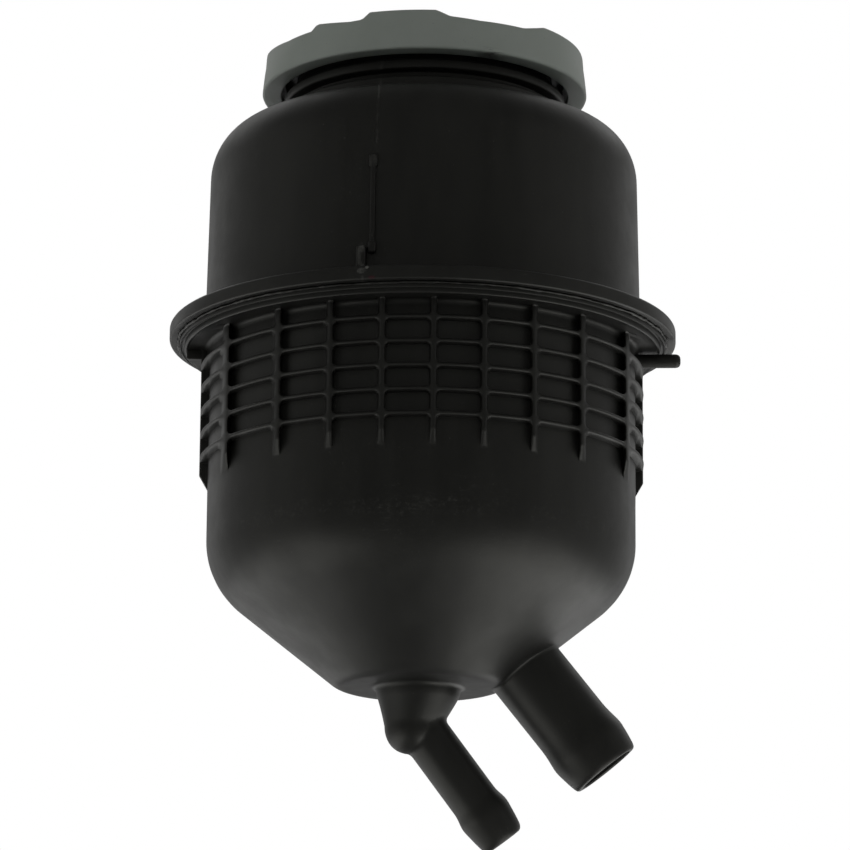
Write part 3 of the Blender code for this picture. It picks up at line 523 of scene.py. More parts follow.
# %% Join the rings into one skin
def lower_skin():
    count = len(COLUMNS)
    turn = np.radians(COLUMNS)
    verts, faces = [], []

    def add_ring(points):
        verts.append(points)
        return sum(len(v) for v in verts) - len(points)

    def follow(last, rings, n):
        """Adds rings of n points, each joined to the one before, and tells where the last begins."""
        for points in rings:
            low, high = last, add_ring(points)
            faces.extend((low + i, low + (i + 1) % n, high + (i + 1) % n, high + i) for i in range(n))
            last = high
        return last

    def halve(low, high, n):
        """Joins a ring of n points to one of half as many."""
        for i in range(n // 2):
            wide = (low + 2 * i, low + 2 * i + 1, low + (2 * i + 2) % n)
            faces.append((*wide, high + (i + 1) % (n // 2), high + i))

    top = add_ring(ring(*SKIN_TOP[-1], turn))
    last = follow(top, [ring(r, z, turn) for r, z in SKIN_TOP[-2::-1]], count)
    first, end = last + count, last + count + len(FLOORS) * count
    skin = cone_skin()
    last = follow(last, [*FLOORS, ring(*skin[0], turn)], count)
    half, half_turn = count // 2, turn[::2]
    below = add_ring(ring(*skin[1], half_turn))
    halve(last, below, count)
    below = follow(below, [ring(r, z, half_turn) for r, z in skin[2:]], half)
    below = follow(below, [ring(r, z, half_turn, shift) for z, r, shift in boss_rings()], half)
    faces.append(tuple(below + i for i in range(half)))
    inner = add_ring(ring(*INNER_SKIN[0], half_turn))
    halve(top, inner, count)
    inner = follow(inner, [ring(r, z, half_turn) for r, z in INNER_SKIN[1:]], half)
    faces.append(tuple(inner + i for i in range(half)))
    return np.concatenate(verts), faces, first, end


def make_lower_skin():
    verts, faces, first, end = lower_skin()
    mesh = bpy.data.meshes.new("lower_skin")
    mesh.from_pydata([tuple(v) for v in verts * MM], [], faces)
    for label, values, unit in (("floor", FLOORS, MM), ("crest", CRESTS, MM), ("plan", PLANS, 1.0)):
        places = verts.copy()
        places[first:end] = values.reshape(-1, 3)
        layer = mesh.attributes.new(label, "FLOAT_VECTOR", "POINT")
        layer.data.foreach_set("vector", (places * unit).ravel())
    in_band = np.zeros(len(verts), bool)
    in_band[first:end] = True
    mesh.attributes.new("in_band", "BOOLEAN", "POINT").data.foreach_set("value", in_band)
    obj = add("lower_skin", mesh)
    run_tree(obj, GRID_TREE, GRID_SIZES)
    for label in ("floor", "crest", "plan", "in_band"):
        layer = obj.data.attributes.get(label)
        if layer:
            obj.data.attributes.remove(layer)
    obj.data.transform(Matrix.Rotation(PULL_TURN, 4, "Z"))
    return tidy(obj, 50)


lower = make_lower_skin()
print("lower skin:", len(lower.data.polygons), "faces")

# %% [markdown]
# ## Hose stubs that grow out of the shell
#
# A hose stub meets the cone along a bent curve with a small fillet. A Boolean leaves a hard edge
# there. Instead, a ray runs down each line of the tube until it hits the skin, and a short curve
# carries the tube's wall out onto the surface it hit.

# %% Build one stub against a surface
def aim(start, tilt, turn):
    way = Vector((sin(tilt) * cos(turn), sin(tilt) * sin(turn), -cos(tilt)))
    return Matrix.Translation(start) @ way.to_track_quat("Z", "Y").to_matrix().to_4x4()


def surface_of(obj):
    bm = bmesh.new()
    bm.from_mesh(obj.data)
    tree = BVHTree.FromBMesh(bm)
    bm.free()
    return tree


def stub(name, place, outside, bore, fillet, surface, columns=128):
    """A tube along a place's Z, from a fillet on a surface to its rounded end. Sizes in mm."""
    axis = (place.to_3x3() @ Vector((0, 0, 1))).normalized()
    rings = [[] for _ in range(7)]
    for t in even_turns(columns).tolist():
        out = place.to_3x3() @ Vector((cos(t), sin(t), 0))
        line = place.translation + out * outside[0][0] * MM
        hit = surface.ray_cast(line + axis * 16 * MM, -axis, 40 * MM)[0]
        side = hit + axis * fillet * MM
        base, normal = surface.find_nearest(hit + out * fillet * MM)[:2]
        sunk = 1.2 * MM
        rings[0].append(hit - axis * (sunk + fillet * MM) - out * (outside[0][0] - bore) * MM)
        rings[1].append(base - normal * sunk)
        for k in range(5):
            s = k / 4
            rings[2 + k].append(base * (1 - s) ** 2 + hit * 2 * s * (1 - s) + side * s**2)
    end = outside[-1][1]
    tube = [*outside, (bore + 0.25, end - 0.02), (bore, end - 0.3)]
    rings += [tube_ring(place, r, z, columns) for r, z in tube]
    return put(name, in_millimetres(rings), looped_faces(len(rings), columns), 40)


SUCTION_X = 23.0
SUCTION_BORE, RETURN_BORE = 6.2, 3.35
SUCTION_START = Vector((SUCTION_X, 0, BOTTOM_Z + (SUCTION_X - BOTTOM_R) * tan(CONE_SLOPE)))
SUCTION_PLACE = aim(Matrix.Rotation(radians(3), 4, "Z") @ SUCTION_START * MM, CONE_SLOPE, radians(3))
RETURN_PLACE = aim(Vector((0, 0, BOTTOM_Z - 8.26)) * MM, radians(38), radians(13))
SUCTION = [(8.25, 4.5), (8.25, 11), (8.25, 15.6), (8.3, 16.6), (8.41, 17.8), (8.56, 19.0), (8.69, 20.0),
           (8.73, 20.8), (8.7, 21.6), (8.54, 22.8), (8.3, 24.4), (8.05, 25.8), (7.9, 26.35), (7.7, 26.8),
           (7.4, 27.04), (7.0, 27.1)]
RETURN = [(5.17, 6.5), (5.17, 14), (5.17, 19.6), (5.22, 20.4), (5.35, 21.2), (5.54, 22.0), (5.68, 22.8),
          (5.72, 23.5), (5.68, 24.2), (5.54, 25.3), (5.29, 27.2), (5.0, 28.9), (4.82, 29.5),
          (4.56, 29.95), (4.24, 30.25), (3.9, 30.4)]
skin_surface = surface_of(lower)
suction_stub = stub("suction_stub", SUCTION_PLACE, SUCTION, SUCTION_BORE, 0.7, skin_surface)
return_stub = stub("return_stub", RETURN_PLACE, RETURN, RETURN_BORE, 1.1, skin_surface)
print("stub faces:", len(suction_stub.data.polygons), len(return_stub.data.polygons))

# %% [markdown]
# ## Holes that are really open
#
# Both stubs have to lead somewhere, so their bores are cut through the skin with a Boolean,
# which is applied at once.

# %% Cut the bores
def cut(target, tool):
    modifier = target.modifiers.new("bore", "BOOLEAN")
    modifier.operation, modifier.solver, modifier.object = "DIFFERENCE", "MANIFOLD", tool
    bpy.context.view_layer.update()
    mesh = bpy.data.meshes.new_from_object(target.evaluated_get(bpy.context.evaluated_depsgraph_get()))
    target.modifiers.remove(modifier)
    target.data = mesh
    bpy.data.objects.remove(tool)


def rod(radius, low, high, place, columns=64):
    bm = bmesh.new()
    middle = place @ Matrix.Translation((0, 0, (low + high) / 2 * MM))
    bmesh.ops.create_cone(bm, cap_ends=True, segments=columns, radius1=radius * MM, radius2=radius * MM,
                          depth=(high - low) * MM, matrix=middle)
    return add("rod", bm)


cut(lower, rod(SUCTION_BORE, -8, 12, SUCTION_PLACE))
cut(lower, rod(RETURN_BORE, 1, 14, RETURN_PLACE))
tidy(lower, 50)
print("lower skin after the bores:", len(lower.data.polygons), "faces")

# %% [markdown]
# ## The peg and the weld
#
# A peg and a short web under the flange keep the reservoir from turning in its bracket. The two
# shells are friction welded, and the weld pushes out an uneven bead of plastic between the flanges.
# Sums of sines with fixed phases give the bead its wander.

# %% Peg, web and weld bead
PEG_TURN, PEG_Z = radians(87), -1.8
WELD_R, WELD_Z, WELD_SIZE = 53.0, 1.62, 0.33


def merge(target, *others):
    """Adds the meshes of other objects to a target's mesh and removes those objects."""
    bm = bmesh.new()
    bm.from_mesh(target.data)
    for other in others:
        bm.from_mesh(other.data)
        bpy.data.objects.remove(other)
    bm.to_mesh(target.data)
    bm.free()
    target.data.shade_smooth()
    return target


def peg():
    way = Vector((sin(PEG_TURN), -cos(PEG_TURN), 0))
    place = Matrix.Translation((0, 0, PEG_Z * MM)) @ way.to_track_quat("Z", "Y").to_matrix().to_4x4()
    section = [(2.1, 46.0), (1.72, 46.5), (1.53, 47.1), (1.5, 48.0), (1.5, 54.9), (1.42, 55.4),
               (1.2, 55.75), (0.85, 55.95), (0.4, 56.03)]
    rings = [tube_ring(place, r, z, 40) for r, z in section]
    return put("peg", in_millimetres(rings), capped_faces(len(section), 40), 50)


def web():
    """The short black lug under the flange, on the side away from the peg."""
    bm = soft_box((6.0, 1.3, 2.6), 0.25)
    place = Matrix.Rotation(PULL_TURN, 4, "Z") @ Matrix.Translation((-48.2, 0, -0.85))
    bmesh.ops.transform(bm, matrix=Matrix.Scale(MM, 4) @ place, verts=bm.verts)
    return add("web", bm)


def wander(turn, waves):
    return sum(size * np.sin(turn * count + phase) for count, size, phase in waves)


def weld_bead(columns=720, around=10):
    turn = even_turns(columns)
    out = WELD_R + wander(turn, ((7, 0.10, 0.4), (19, 0.09, 1.9), (43, 0.07, 4.0), (97, 0.05, 2.2),
                                 (151, 0.04, 0.3)))
    thick = WELD_SIZE + wander(turn, ((11, 0.06, 2.6), (31, 0.07, 0.8), (73, 0.06, 5.1), (131, 0.05, 3.3)))
    rings = []
    for k in range(around):
        a = 2 * pi * k / around
        rings.append(ring(out + thick * 1.15 * cos(a), WELD_Z + thick * 0.75 * sin(a), turn))
    return put("weld_bead", np.concatenate(rings), looped_faces(around, columns), 60)


weld = weld_bead()
merge(lower, peg(), web())
lower.data.set_sharp_from_angle(angle=radians(48))
print("whole lower shell:", len(lower.data.polygons), "faces")

# %% [markdown]
# ## The upper shell
#
# One turned section makes the upper flange, the slightly tapered wall, the elliptical shoulder and
# the neck with its groove and collar. Its mould leaves a thin rib, a pad and a stop on the front,
# and a line of flash over the shoulder.

# %% Turn the upper shell
NECK_TOP = round(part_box("upper_shell")[1].z / MM, 3)
DRAWN_NECK_TOP, DRAWN_CAP_LOW, DRAWN_PLUG_TOP = 60.5, 58.2, 63.1
LIFT = NECK_TOP - DRAWN_NECK_TOP
WALL_R, WALL_LOW, WALL_DRAFT = 47.36, 5.0, 0.02
UPPER_COLUMNS, PLUG_COLUMNS = 256, 128
print("neck top at", NECK_TOP, "mm, so the neck moves by", round(LIFT, 3))


def shoulder(inset, steps):
    """An ellipse from the wall to the flat top, as (radius, height)."""
    return [(37.1 - inset + 9.6 * cos(pi / 2 * k / steps), 38.0 + (11.5 - inset) * sin(pi / 2 * k / steps))
            for k in range(steps + 1)]


def upper_section():
    low = rounded([(52.8, 1.9, 0), (55.0, 1.9, 0.45), (55.0, 5.02, 0.7), (50.5, 5.1, 0),
                   (47.36, 5.15, 1.5), (46.7, 38.0, 0)])[:-1]
    wall = [(47.28 - 0.58 * k / 8, 7.0 + 31.0 * k / 8) for k in range(1, 8)]
    dz = LIFT
    neck = rounded([(37.1, 49.5, 0), (31.7, 49.62 + dz, 0.7), (31.7, 53.5 + dz, 0.6),
                    (28.4, 53.55 + dz, 0.35), (28.4, 55.3 + dz, 0.35), (30.9, 55.3 + dz, 0.55),
                    (30.9, 57.7 + dz, 0.8), (28.4, 57.75 + dz, 0.4), (28.4, NECK_TOP, 0.3),
                    (26.0, NECK_TOP, 0.4), (26.0, 47.1, 0)])[1:]
    inside = shoulder(2.5, 8)[::-1]
    lip = [(44.9, 6.0), (43.7, 4.8), (43.7, 1.3), (45.0, 1.3), (45.0, 1.9)]
    return low + wall + shoulder(0, 20) + neck + inside + lip


def block(name, turn, width, low, high, proud, edge):
    """A small raised mark on the wall, with rounded edges. Heights and sizes in mm."""
    face = WALL_R - WALL_DRAFT * ((low + high) / 2 - WALL_LOW)
    bm = soft_box((width, proud + 1.2, high - low), edge)
    for v in bm.verts:
        rise = (v.co.z + (high - low) / 2) / (high - low)
        v.co.y -= face + proud - (proud + 1.2) / 2 - WALL_DRAFT * (rise - 0.5) * (high - low)
        v.co.z += (low + high) / 2
    place = Matrix.Scale(MM, 4) @ Matrix.Rotation(radians(turn), 4, "Z")
    bmesh.ops.transform(bm, matrix=place, verts=bm.verts)
    return add(name, bm)


def flash_line():
    """The thin seam of plastic that the mould's split leaves up the shoulder."""
    path = [(46.75, 34.0), (46.72, 36.0)] + shoulder(0, 20)[:15]
    rings = []
    for k, (r, z) in enumerate(path):
        before, after = path[max(k - 1, 0)], path[min(k + 1, len(path) - 1)]
        way = np.array([after[0] - before[0], after[1] - before[1]])
        out = np.array([way[1], -way[0]]) / np.linalg.norm(way)
        size = 0.16 + 0.05 * sin(k * 2.1) + 0.04 * sin(k * 0.9)
        for a in np.arange(6) * 2 * pi / 6:
            side, up = size * cos(a) * 1.3, size * sin(a)
            point = Vector((side, -(r + out[0] * up), z + out[1] * up))
            rings.append(Matrix.Rotation(-asin((9.95 - 0.5 * k / len(path)) / r), 3, "Z") @ point)
    return put("flash_line", np.array([list(v) for v in rings]), capped_faces(len(path), 6), 60)


rings = [ring(r, z, even_turns(UPPER_COLUMNS)) for r, z in upper_section()]
upper = put("upper_skin", np.concatenate(rings), looped_faces(len(rings), UPPER_COLUMNS), 40)
marks = [block(name, *sizes) for name, *sizes in (
    ("mould_rib", -13.0, 1.2, 10.0, 30.0, 0.6, 0.42), ("mould_pad", -13.0, 2.0, 28.6, 31.4, 0.6, 0.5),
    ("mould_bulge", -13.0, 1.8, 9.6, 12.4, 1.0, 0.6), ("mould_stop", -15.6, 2.1, 4.9, 11.2, 1.5, 0.45))]
merge(upper, *marks, flash_line())
upper.data.set_sharp_from_angle(angle=radians(42))
print("upper shell:", len(upper.data.polygons), "faces")

# %% [markdown]
# ## The cap
#
# The cap is a shallow cup with a smooth skirt. On top it has a bar across the middle to turn it
# by, and a rim that is raised at two sides. The top is a polar sheet: the height of each point
# comes from soft masks for the bar and the rim, so all edges are round as on a moulding.

# %% Heights of the cap's top
CAP_LOW = round(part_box("cap_shell")[0].z / MM, 3)
CAP_HIGH = round(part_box("cap_shell")[1].z / MM, 3)
CAP_SHIFT = CAP_LOW - DRAWN_CAP_LOW
GRIP_TURN = radians(-8)
RELIEF = 1.7
RIM_HEIGHTS = ((-20, 1.0), (4, 1.0), (9, 0.25), (20, 0.0), (38, 0.08), (44, 0.6), (48, 1.0), (97, 1.0),
               (100, 0.8), (110, 0.4), (121, 0.0), (135, 0.0), (138, 0.7), (146, 0.35), (152, 0.1),
               (157, 0.15), (160, 1.0))


def smooth(value, start, end):
    t = np.clip((value - start) / (end - start), 0, 1)
    return t * t * (3 - 2 * t)


def cap_height(r, turn):
    """Height of the cap's top at a radius and a turn from the front, in mm above the skirt's rim."""
    x, y = r * np.sin(turn - GRIP_TURN), r * np.cos(turn - GRIP_TURN)
    bar = 1 - smooth(np.abs(x), 6.7, 7.6)
    waist = 1 - 0.35 * smooth(18 - np.abs(y), 0, 14) * smooth(np.abs(x), 3.6, 4.6)
    degrees = (np.degrees(turn) + 20) % 180 - 20
    level = np.interp(degrees, [d for d, _ in RIM_HEIGHTS], [h for _, h in RIM_HEIGHTS])
    rim = smooth(r, 27.6, 28.8)
    dish = -0.8 * (1 - smooth(r, 27.4, 28.4))
    return dish + np.maximum(bar * waist * (RELIEF - dish), rim * level * RELIEF)


def cap_skin(columns=288):
    turn = even_turns(columns)
    top = CAP_HIGH - RELIEF
    radii = [0.6, 1.6, 2.6, *np.arange(3.2, 27.0, 0.45)]
    radii += [27.4, 27.7, 28.1, 28.5, 28.9, 29.6, 31, 32.6, 33.8, 34.3]
    rings = [ring(r, top + cap_height(r, turn), turn) for r in radii]
    edge = top + cap_height(34.5, turn)
    fall = ((34.6, 0.06), (34.78, 0.2), (34.86, 0.45), (34.9, 0.8))
    rings += [ring(r, edge - drop, turn) for r, drop in fall]
    skirt = [(35.05, 64.2), (35.3, 62.4), (35.5, 60.6), (35.66, 58.9), (35.68, 58.6), (35.58, 58.35),
             (35.35, 58.22), (35.0, 58.2), (32.0, 58.2), (31.65, 58.26), (31.5, 58.45), (31.5, 59.6),
             (30.6, 60.4), (31.5, 61.2), (31.5, 63.3), (20.0, 63.3), (1.0, 63.3)]
    rings += [ring(r, z + CAP_SHIFT, turn) for r, z in skirt]
    return put("cap_skin", np.concatenate(rings), capped_faces(len(rings), columns), 45)


cap = cap_skin()
print("cap:", len(cap.data.polygons), "faces, from", CAP_LOW, "to", CAP_HIGH)

# %% [markdown]
# ## The screw thread
#
# The plug and the neck share a thread with two starts and a lead of 6 mm, right-handed. A helix
# with a small trapezoid swept along it is the classic way to draw one, and a Geometry Nodes tree
# does it for both the outer and the inner thread.

# %% A tree that sweeps a thread
def thread_tree():
    sheet, given = new_tree("screw thread", ("Radius", "Lead", "Turns", "Depth", "Root width",
                                             "Crest width", "Start height", "Starts"))
    helix = sheet.node("GeometryNodeCurveSpiral", {}, {
        "Resolution": 72, "Rotations": given["Turns"], "Start Radius": given["Radius"],
        "End Radius": given["Radius"], "Height": given["Lead"] * given["Turns"], "Reverse": False})
    rise = sheet.node("ShaderNodeCombineXYZ", {}, {2: given["Start height"]})
    lifted = sheet.node("GeometryNodeTransform", {}, {"Geometry": helix, "Translation": rise})
    section = sheet.node("GeometryNodeCurvePrimitiveQuadrilateral", {"mode": "TRAPEZOID"}, {
        "Height": given["Depth"], "Bottom Width": given["Root width"], "Top Width": given["Crest width"],
        "Offset": 0.0})
    swept = sheet.node("GeometryNodeCurveToMesh", {}, {
        "Curve": lifted, "Profile Curve": section, "Fill Caps": True})
    points = sheet.node("GeometryNodeMeshLine", {"mode": "OFFSET"}, {
        "Count": given["Starts"], "Offset": (0, 0, 0)})
    turn = sheet.node("GeometryNodeInputIndex") * (2 * pi) / given["Starts"]
    spin = sheet.node("ShaderNodeCombineXYZ", {}, {2: turn})
    copies = sheet.node("GeometryNodeInstanceOnPoints", {}, {
        "Points": points, "Instance": swept, "Rotation": spin})
    return close_tree(sheet, copies, given)


THREAD_TREE = thread_tree()
print("the thread tree has", len(THREAD_TREE.nodes), "nodes")


# %% [markdown]
# ## Finishes
#
# The shells are black nylon with glass in it: satin, with a fine moulded grain, faint cloudy
# changes of gloss, and scuffs where the wall turns into the cone. The raised marks on the front are
# rubbed pale, with a small dark red speck below them, and a painted highlight runs in broken dashes
# along the seam on the shoulder. The cap is a grey green plastic of the same gloss. All patterns read
# Object coordinates, so they stay put from every side.

# %% Materials
class Paint(Sheet):
    """A material with a Principled shader, whose patterns are written as arithmetic."""

    def __init__(self, name, colour, roughness, metallic=0.0, specular=0.5):
        self.material = bpy.data.materials.new(name)
        self.material.use_nodes = True
        super().__init__(self.material.node_tree)
        self.shader = self.tree.nodes["Principled BSDF"]
        self.shader.inputs["Base Color"].default_value = (*colour, 1.0)
        self.shader.inputs["Roughness"].default_value = roughness
        self.shader.inputs["Metallic"].default_value = metallic
        self.shader.inputs["Specular IOR Level"].default_value = specular
        place = self.tree.nodes.new("ShaderNodeTexCoord")
        self.place = Value(self, place.outputs["Object"])
        split = self.tree.nodes.new("ShaderNodeSeparateXYZ")
        self.tree.links.new(place.outputs["Object"], split.inputs[0])
        self.x, self.y, self.z = (Value(self, split.outputs[k]) for k in range(3))
        self.front = (0 - self.y).ramp(0.02, 0.03)

    def link(self, value, label):
        self.tree.links.new(value.socket, self.shader.inputs[label])

    def noise(self, size, detail=2.0, rough=0.5, stretch=None):
        """Noise with features of a size in millimetres, between 0 and 1."""
        place = self.place
        if stretch:
            place = self.node("ShaderNodeMapping", {}, {"Vector": place, "Scale": stretch})
        return self.node("ShaderNodeTexNoise", {}, {
            "Vector": place, "Scale": 1 / (size * MM), "Detail": detail, "Roughness": rough})

    def blend(self, factor, first, second):
        """Mixes two colours."""
        def full(c):
            return c if isinstance(c, Value) else (*c, 1.0)
        inputs = {0: factor, 6: full(first), 7: full(second)}
        return self.node("ShaderNodeMix", {"data_type": "RGBA"}, inputs, output=2)

    def bump(self, height, depth, before=None):
        """Relief of a depth in millimetres."""
        inputs = {"Height": height, "Distance": depth * MM, "Strength": 1.0}
        if before:
            inputs["Normal"] = before
        return self.node("ShaderNodeBump", {}, inputs)


def spot(paint, x, z, width, height):
    """A soft mask round a place on the front, in millimetres."""
    across, up = (paint.x / MM - x) / width, (paint.z / MM - z) / height
    return (1 - across * across - up * up).ramp(0, 0.5) * paint.front


def rubbing_and_seam_highlight(paint, speck):
    """Pale rubbing on the mould's nub and pad and on the flange below them, and a painted highlight in
    broken dashes along the seam.
    """
    nub = spot(paint, -12.9, 8.9, 0.9, 3.6) - spot(paint, -12.4, 8.4, 0.7, 1.6)
    pad, stem = spot(paint, *MOULD_PAD, 0.9, 1.5), spot(paint, -12.5, 2.0, 0.3, 1.0)
    rubbed = (nub + spot(paint, -12.7, 3.8, 1.1, 0.7) + pad * 0.4 + stem * 0.5).most(0)
    # The seam mask paints a highlight in broken dashes along the flash line on the shoulder.
    seam = (1 - abs(paint.x / MM + 10 - (paint.z / MM - 31) * 0.03) / 0.4).most(0)
    seam = seam * (paint.z / MM).ramp(31, 35) * paint.front * paint.noise(1.5, 2, 0.6).ramp(0.35, 0.6)
    return seam * 0.5 + rubbed * speck.ramp(0.2, 0.7) * 0.9 + spot(paint, -11.6, 4.5, 0.4, 0.4) * 1.6


def scuffed_ring(paint, cloud):
    """Crumbs and scratches where the wall turns into the cone."""
    ring = (1 - abs(paint.z / MM + 43.8) / 2.6).ramp(0, 0.7)
    crumbs = paint.noise(0.9, 4, 0.7).ramp(0.5, 0.66) * cloud.ramp(0.3, 0.55)
    band = (1 - abs(paint.z / MM + 45) / 11).most(0)
    scratch = paint.noise(1.1, 4, 0.7, (0.35, 0.35, 2.6)).ramp(0.55, 0.72) * cloud.ramp(0.42, 0.62)
    return scratch * band * 0.5 + crumbs * ring * 0.3


def black_nylon(name, upper_half):
    paint = Paint(name, (0.0055, 0.0055, 0.005), 0.42)
    paint.shader.inputs["Specular Tint"].default_value = (1.0, 1.0, 0.92, 1.0)
    cloud, speck, grain = paint.noise(9, 3, 0.6), paint.noise(0.55), paint.noise(0.22, 1)
    flow = paint.noise(5, stretch=(1.0, 1.0, 0.18))
    colour = paint.blend(flow.ramp(0.3, 0.7), (0.0048, 0.0048, 0.0044), (0.0063, 0.0063, 0.0057))
    dust_wear_and_highlight = speck.ramp(0.66, 0.8) * cloud.ramp(0.4, 0.7)
    if upper_half:
        # On the upper shell this pale mix also holds the painted highlight along the seam, besides dust and
        # rubbing.
        dust_wear_and_highlight = dust_wear_and_highlight + rubbing_and_seam_highlight(paint, speck)
        colour = paint.blend(spot(paint, -10.6, 2.3, 0.8, 0.4) * 0.8, colour, DARK_RED)
    else:
        dust_wear_and_highlight = dust_wear_and_highlight + scuffed_ring(paint, cloud)
    paint.link(paint.blend((dust_wear_and_highlight * 0.5).least(0.9), colour, (0.06, 0.06, 0.055)), "Base Color")
    paint.link(0.40 + cloud.ramp(0.3, 0.7) * 0.07 + speck * 0.04 + dust_wear_and_highlight * 0.1, "Roughness")
    paint.link(paint.bump(grain * 0.6 + speck * 0.4, 0.012, paint.bump(cloud, 0.05)), "Normal")
    return paint.material


def cap_green():
    paint = Paint("cap grey green", (0.14, 0.155, 0.138), 0.45)
    cloud, speck, grain = paint.noise(11, 3, 0.6), paint.noise(0.6, 2, 0.5), paint.noise(0.25, 1, 0.5)
    colour = paint.blend(cloud.ramp(0.3, 0.7), (0.134, 0.149, 0.132), (0.146, 0.161, 0.144))
    grime = speck.ramp(0.68, 0.8) * 0.4
    scrape = paint.noise(1.6, 3, 0.6, (0.3, 0.3, 3.0)).ramp(0.52, 0.62)
    near = (1 - abs(paint.x / MM - 14) / 4).most(0) * (1 - abs(paint.z / MM - 58.6) / 0.9).most(0)
    grime = (grime + scrape * near * paint.front * 1.6).least(1.0)
    paint.link(paint.blend(grime, colour, (0.03, 0.033, 0.03)), "Base Color")
    paint.link(0.43 + cloud.ramp(0.3, 0.7) * 0.06 + grime * 0.15, "Roughness")
    paint.link(paint.bump(grain * 0.6 + speck * 0.4, 0.010), "Normal")
    return paint.material


def moulded(name, colour, roughness, grain_depth=0.008):
    """A plain moulded plastic or rubber with grain and faint clouds."""
    paint = Paint(name, colour, roughness)
    cloud, grain = paint.noise(6, 3, 0.6), paint.noise(0.3, 2, 0.5)
    darker = tuple(c * 0.86 for c in colour)
    paint.link(paint.blend(cloud.ramp(0.3, 0.7), colour, darker), "Base Color")
    paint.link(roughness + (cloud - 0.5) * 0.12, "Roughness")
    paint.link(paint.bump(grain, grain_depth), "Normal")
    return paint.material


def mesh_cloth():
    """Fine woven filter mesh: threads run up and round."""
    paint = Paint("filter mesh cloth", (0.72, 0.71, 0.66), 0.75)
    turn, threads_round, pitch = paint.y.arctan(paint.x), 170, 0.8 * MM
    weave = (turn * threads_round).sine() * (paint.z * (2 * pi / pitch)).sine()
    paint.link(paint.blend(weave.ramp(-0.4, 0.4), (0.60, 0.59, 0.54), (0.76, 0.75, 0.70)), "Base Color")
    paint.link(paint.bump(weave, 0.06), "Normal")
    return paint.material


def drawn_steel():
    paint = Paint("spring steel", (0.55, 0.55, 0.56), 0.3, metallic=1.0)
    streak = paint.noise(0.5, 3, 0.6, (1.0, 1.0, 0.25))
    paint.link(0.24 + streak * 0.16, "Roughness")
    paint.link(paint.blend(streak.ramp(0.4, 0.7), (0.56, 0.56, 0.57), (0.46, 0.46, 0.48)), "Base Color")
    paint.link(paint.bump(streak, 0.004), "Normal")
    return paint.material


MOULD_PAD, DARK_RED = (-10.6, 29.9), (0.022, 0.0015, 0.005)
SHELL_TOP = black_nylon("black nylon upper", True)
SHELL_LOW = black_nylon("black nylon lower", False)
CAP_PAINT = cap_green()
PLUG_PAINT = moulded("plug black", (0.028, 0.028, 0.028), 0.42)
RUBBER = moulded("seal rubber", (0.015, 0.015, 0.015), 0.75, 0.015)
STICK_PAINT = moulded("dipstick black", (0.055, 0.055, 0.055), 0.45)
FILTER_PAINT = moulded("filter plastic", (0.55, 0.53, 0.47), 0.5)
print("finishes:", len(bpy.data.materials))

# %% [markdown]
# ## Threads on the plug and in the neck
#
# The plug's core is turned first, a little smaller than its CAD solid, and the swept thread fills
# the difference. The neck gets the matching thread on the inside.

# %% Plug and threads
THREAD_LEAD, THREAD_STARTS = 6, 2


def thread(name, radius, depth, turns, start, root, crest):
    obj = add(name, bpy.data.meshes.new(name))
    run_tree(obj, THREAD_TREE, {
        "Radius": radius * MM, "Lead": THREAD_LEAD * MM, "Turns": turns, "Depth": depth * MM,
        "Root width": root * MM, "Crest width": crest * MM, "Start height": start * MM,
        "Starts": THREAD_STARTS, "Finish": PLUG_PAINT})
    return obj


PLUG_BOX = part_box("cap_plug")
PLUG_TOP = PLUG_BOX[1].z / MM
PLUG_SHIFT = PLUG_TOP - DRAWN_PLUG_TOP


def plug_skin():
    section = [(1.0, 53.1), (23.0, 53.1), (23.6, 53.6), (23.6, 63.1), (30.2, 63.1), (30.6, 62.9),
               (30.6, 62.3), (30.3, 62.1), (25.3, 62.1), (24.7, 61.6), (24.7, 52.0), (24.3, 51.3),
               (23.5, 51.1), (6.9, 51.1), (6.4, 50.7), (6.4, 47.0), (6.0, 46.5), (3.2, 46.5),
               (3.2, 48.2), (1.0, 48.2)]
    rings = [ring(r, z + PLUG_SHIFT, even_turns(PLUG_COLUMNS)) for r, z in section]
    return put("plug_skin", np.concatenate(rings), capped_faces(len(section), PLUG_COLUMNS))


plug = plug_skin()
outer_thread = thread("plug_thread", 25.05, 1.0, 1.35, 51.9 + PLUG_SHIFT, 1.9, 0.9)
merge(plug, outer_thread)
inner_thread = thread("neck_thread", 25.75, 0.9, 1.3, 50.6 + LIFT, 1.7, 0.8)
co = np.array([v.co for v in inner_thread.data.vertices]) / MM
print("thread from", co.min(0).round(2), "to", co.max(0).round(2))

# %% [markdown]
# ## Hand every piece to the frame
#
# The skins ride on the bodies whose solids they stand for. The inner pieces keep their CAD shapes,
# which are right, and get a finish each.

# %% Ride, replace and paint
def finish_with(obj, material):
    obj.data.materials.clear()
    obj.data.materials.append(material)
    obj.data.polygons.foreach_set("material_index", [0] * len(obj.data.polygons))


for skin, material, body, node, slot in (
    (lower, SHELL_LOW, "housing", "lower_shell", "shell_plastic"),
    (suction_stub, SHELL_LOW, "housing", None, "shell_plastic"),
    (return_stub, SHELL_LOW, "housing", None, "shell_plastic"),
    (upper, SHELL_TOP, "housing", "upper_shell", "shell_plastic"),
    (cap, CAP_PAINT, "cap", "cap_shell", "cap_plastic"),
    (plug, PLUG_PAINT, "cap", "cap_plug", "plug_plastic"),
    (inner_thread, SHELL_TOP, "housing", None, "shell_plastic"),
    (weld, SHELL_TOP, "housing", None, "shell_plastic"),
):
    finish_with(skin, material)
    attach(skin, body)
    if node:
        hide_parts(node)

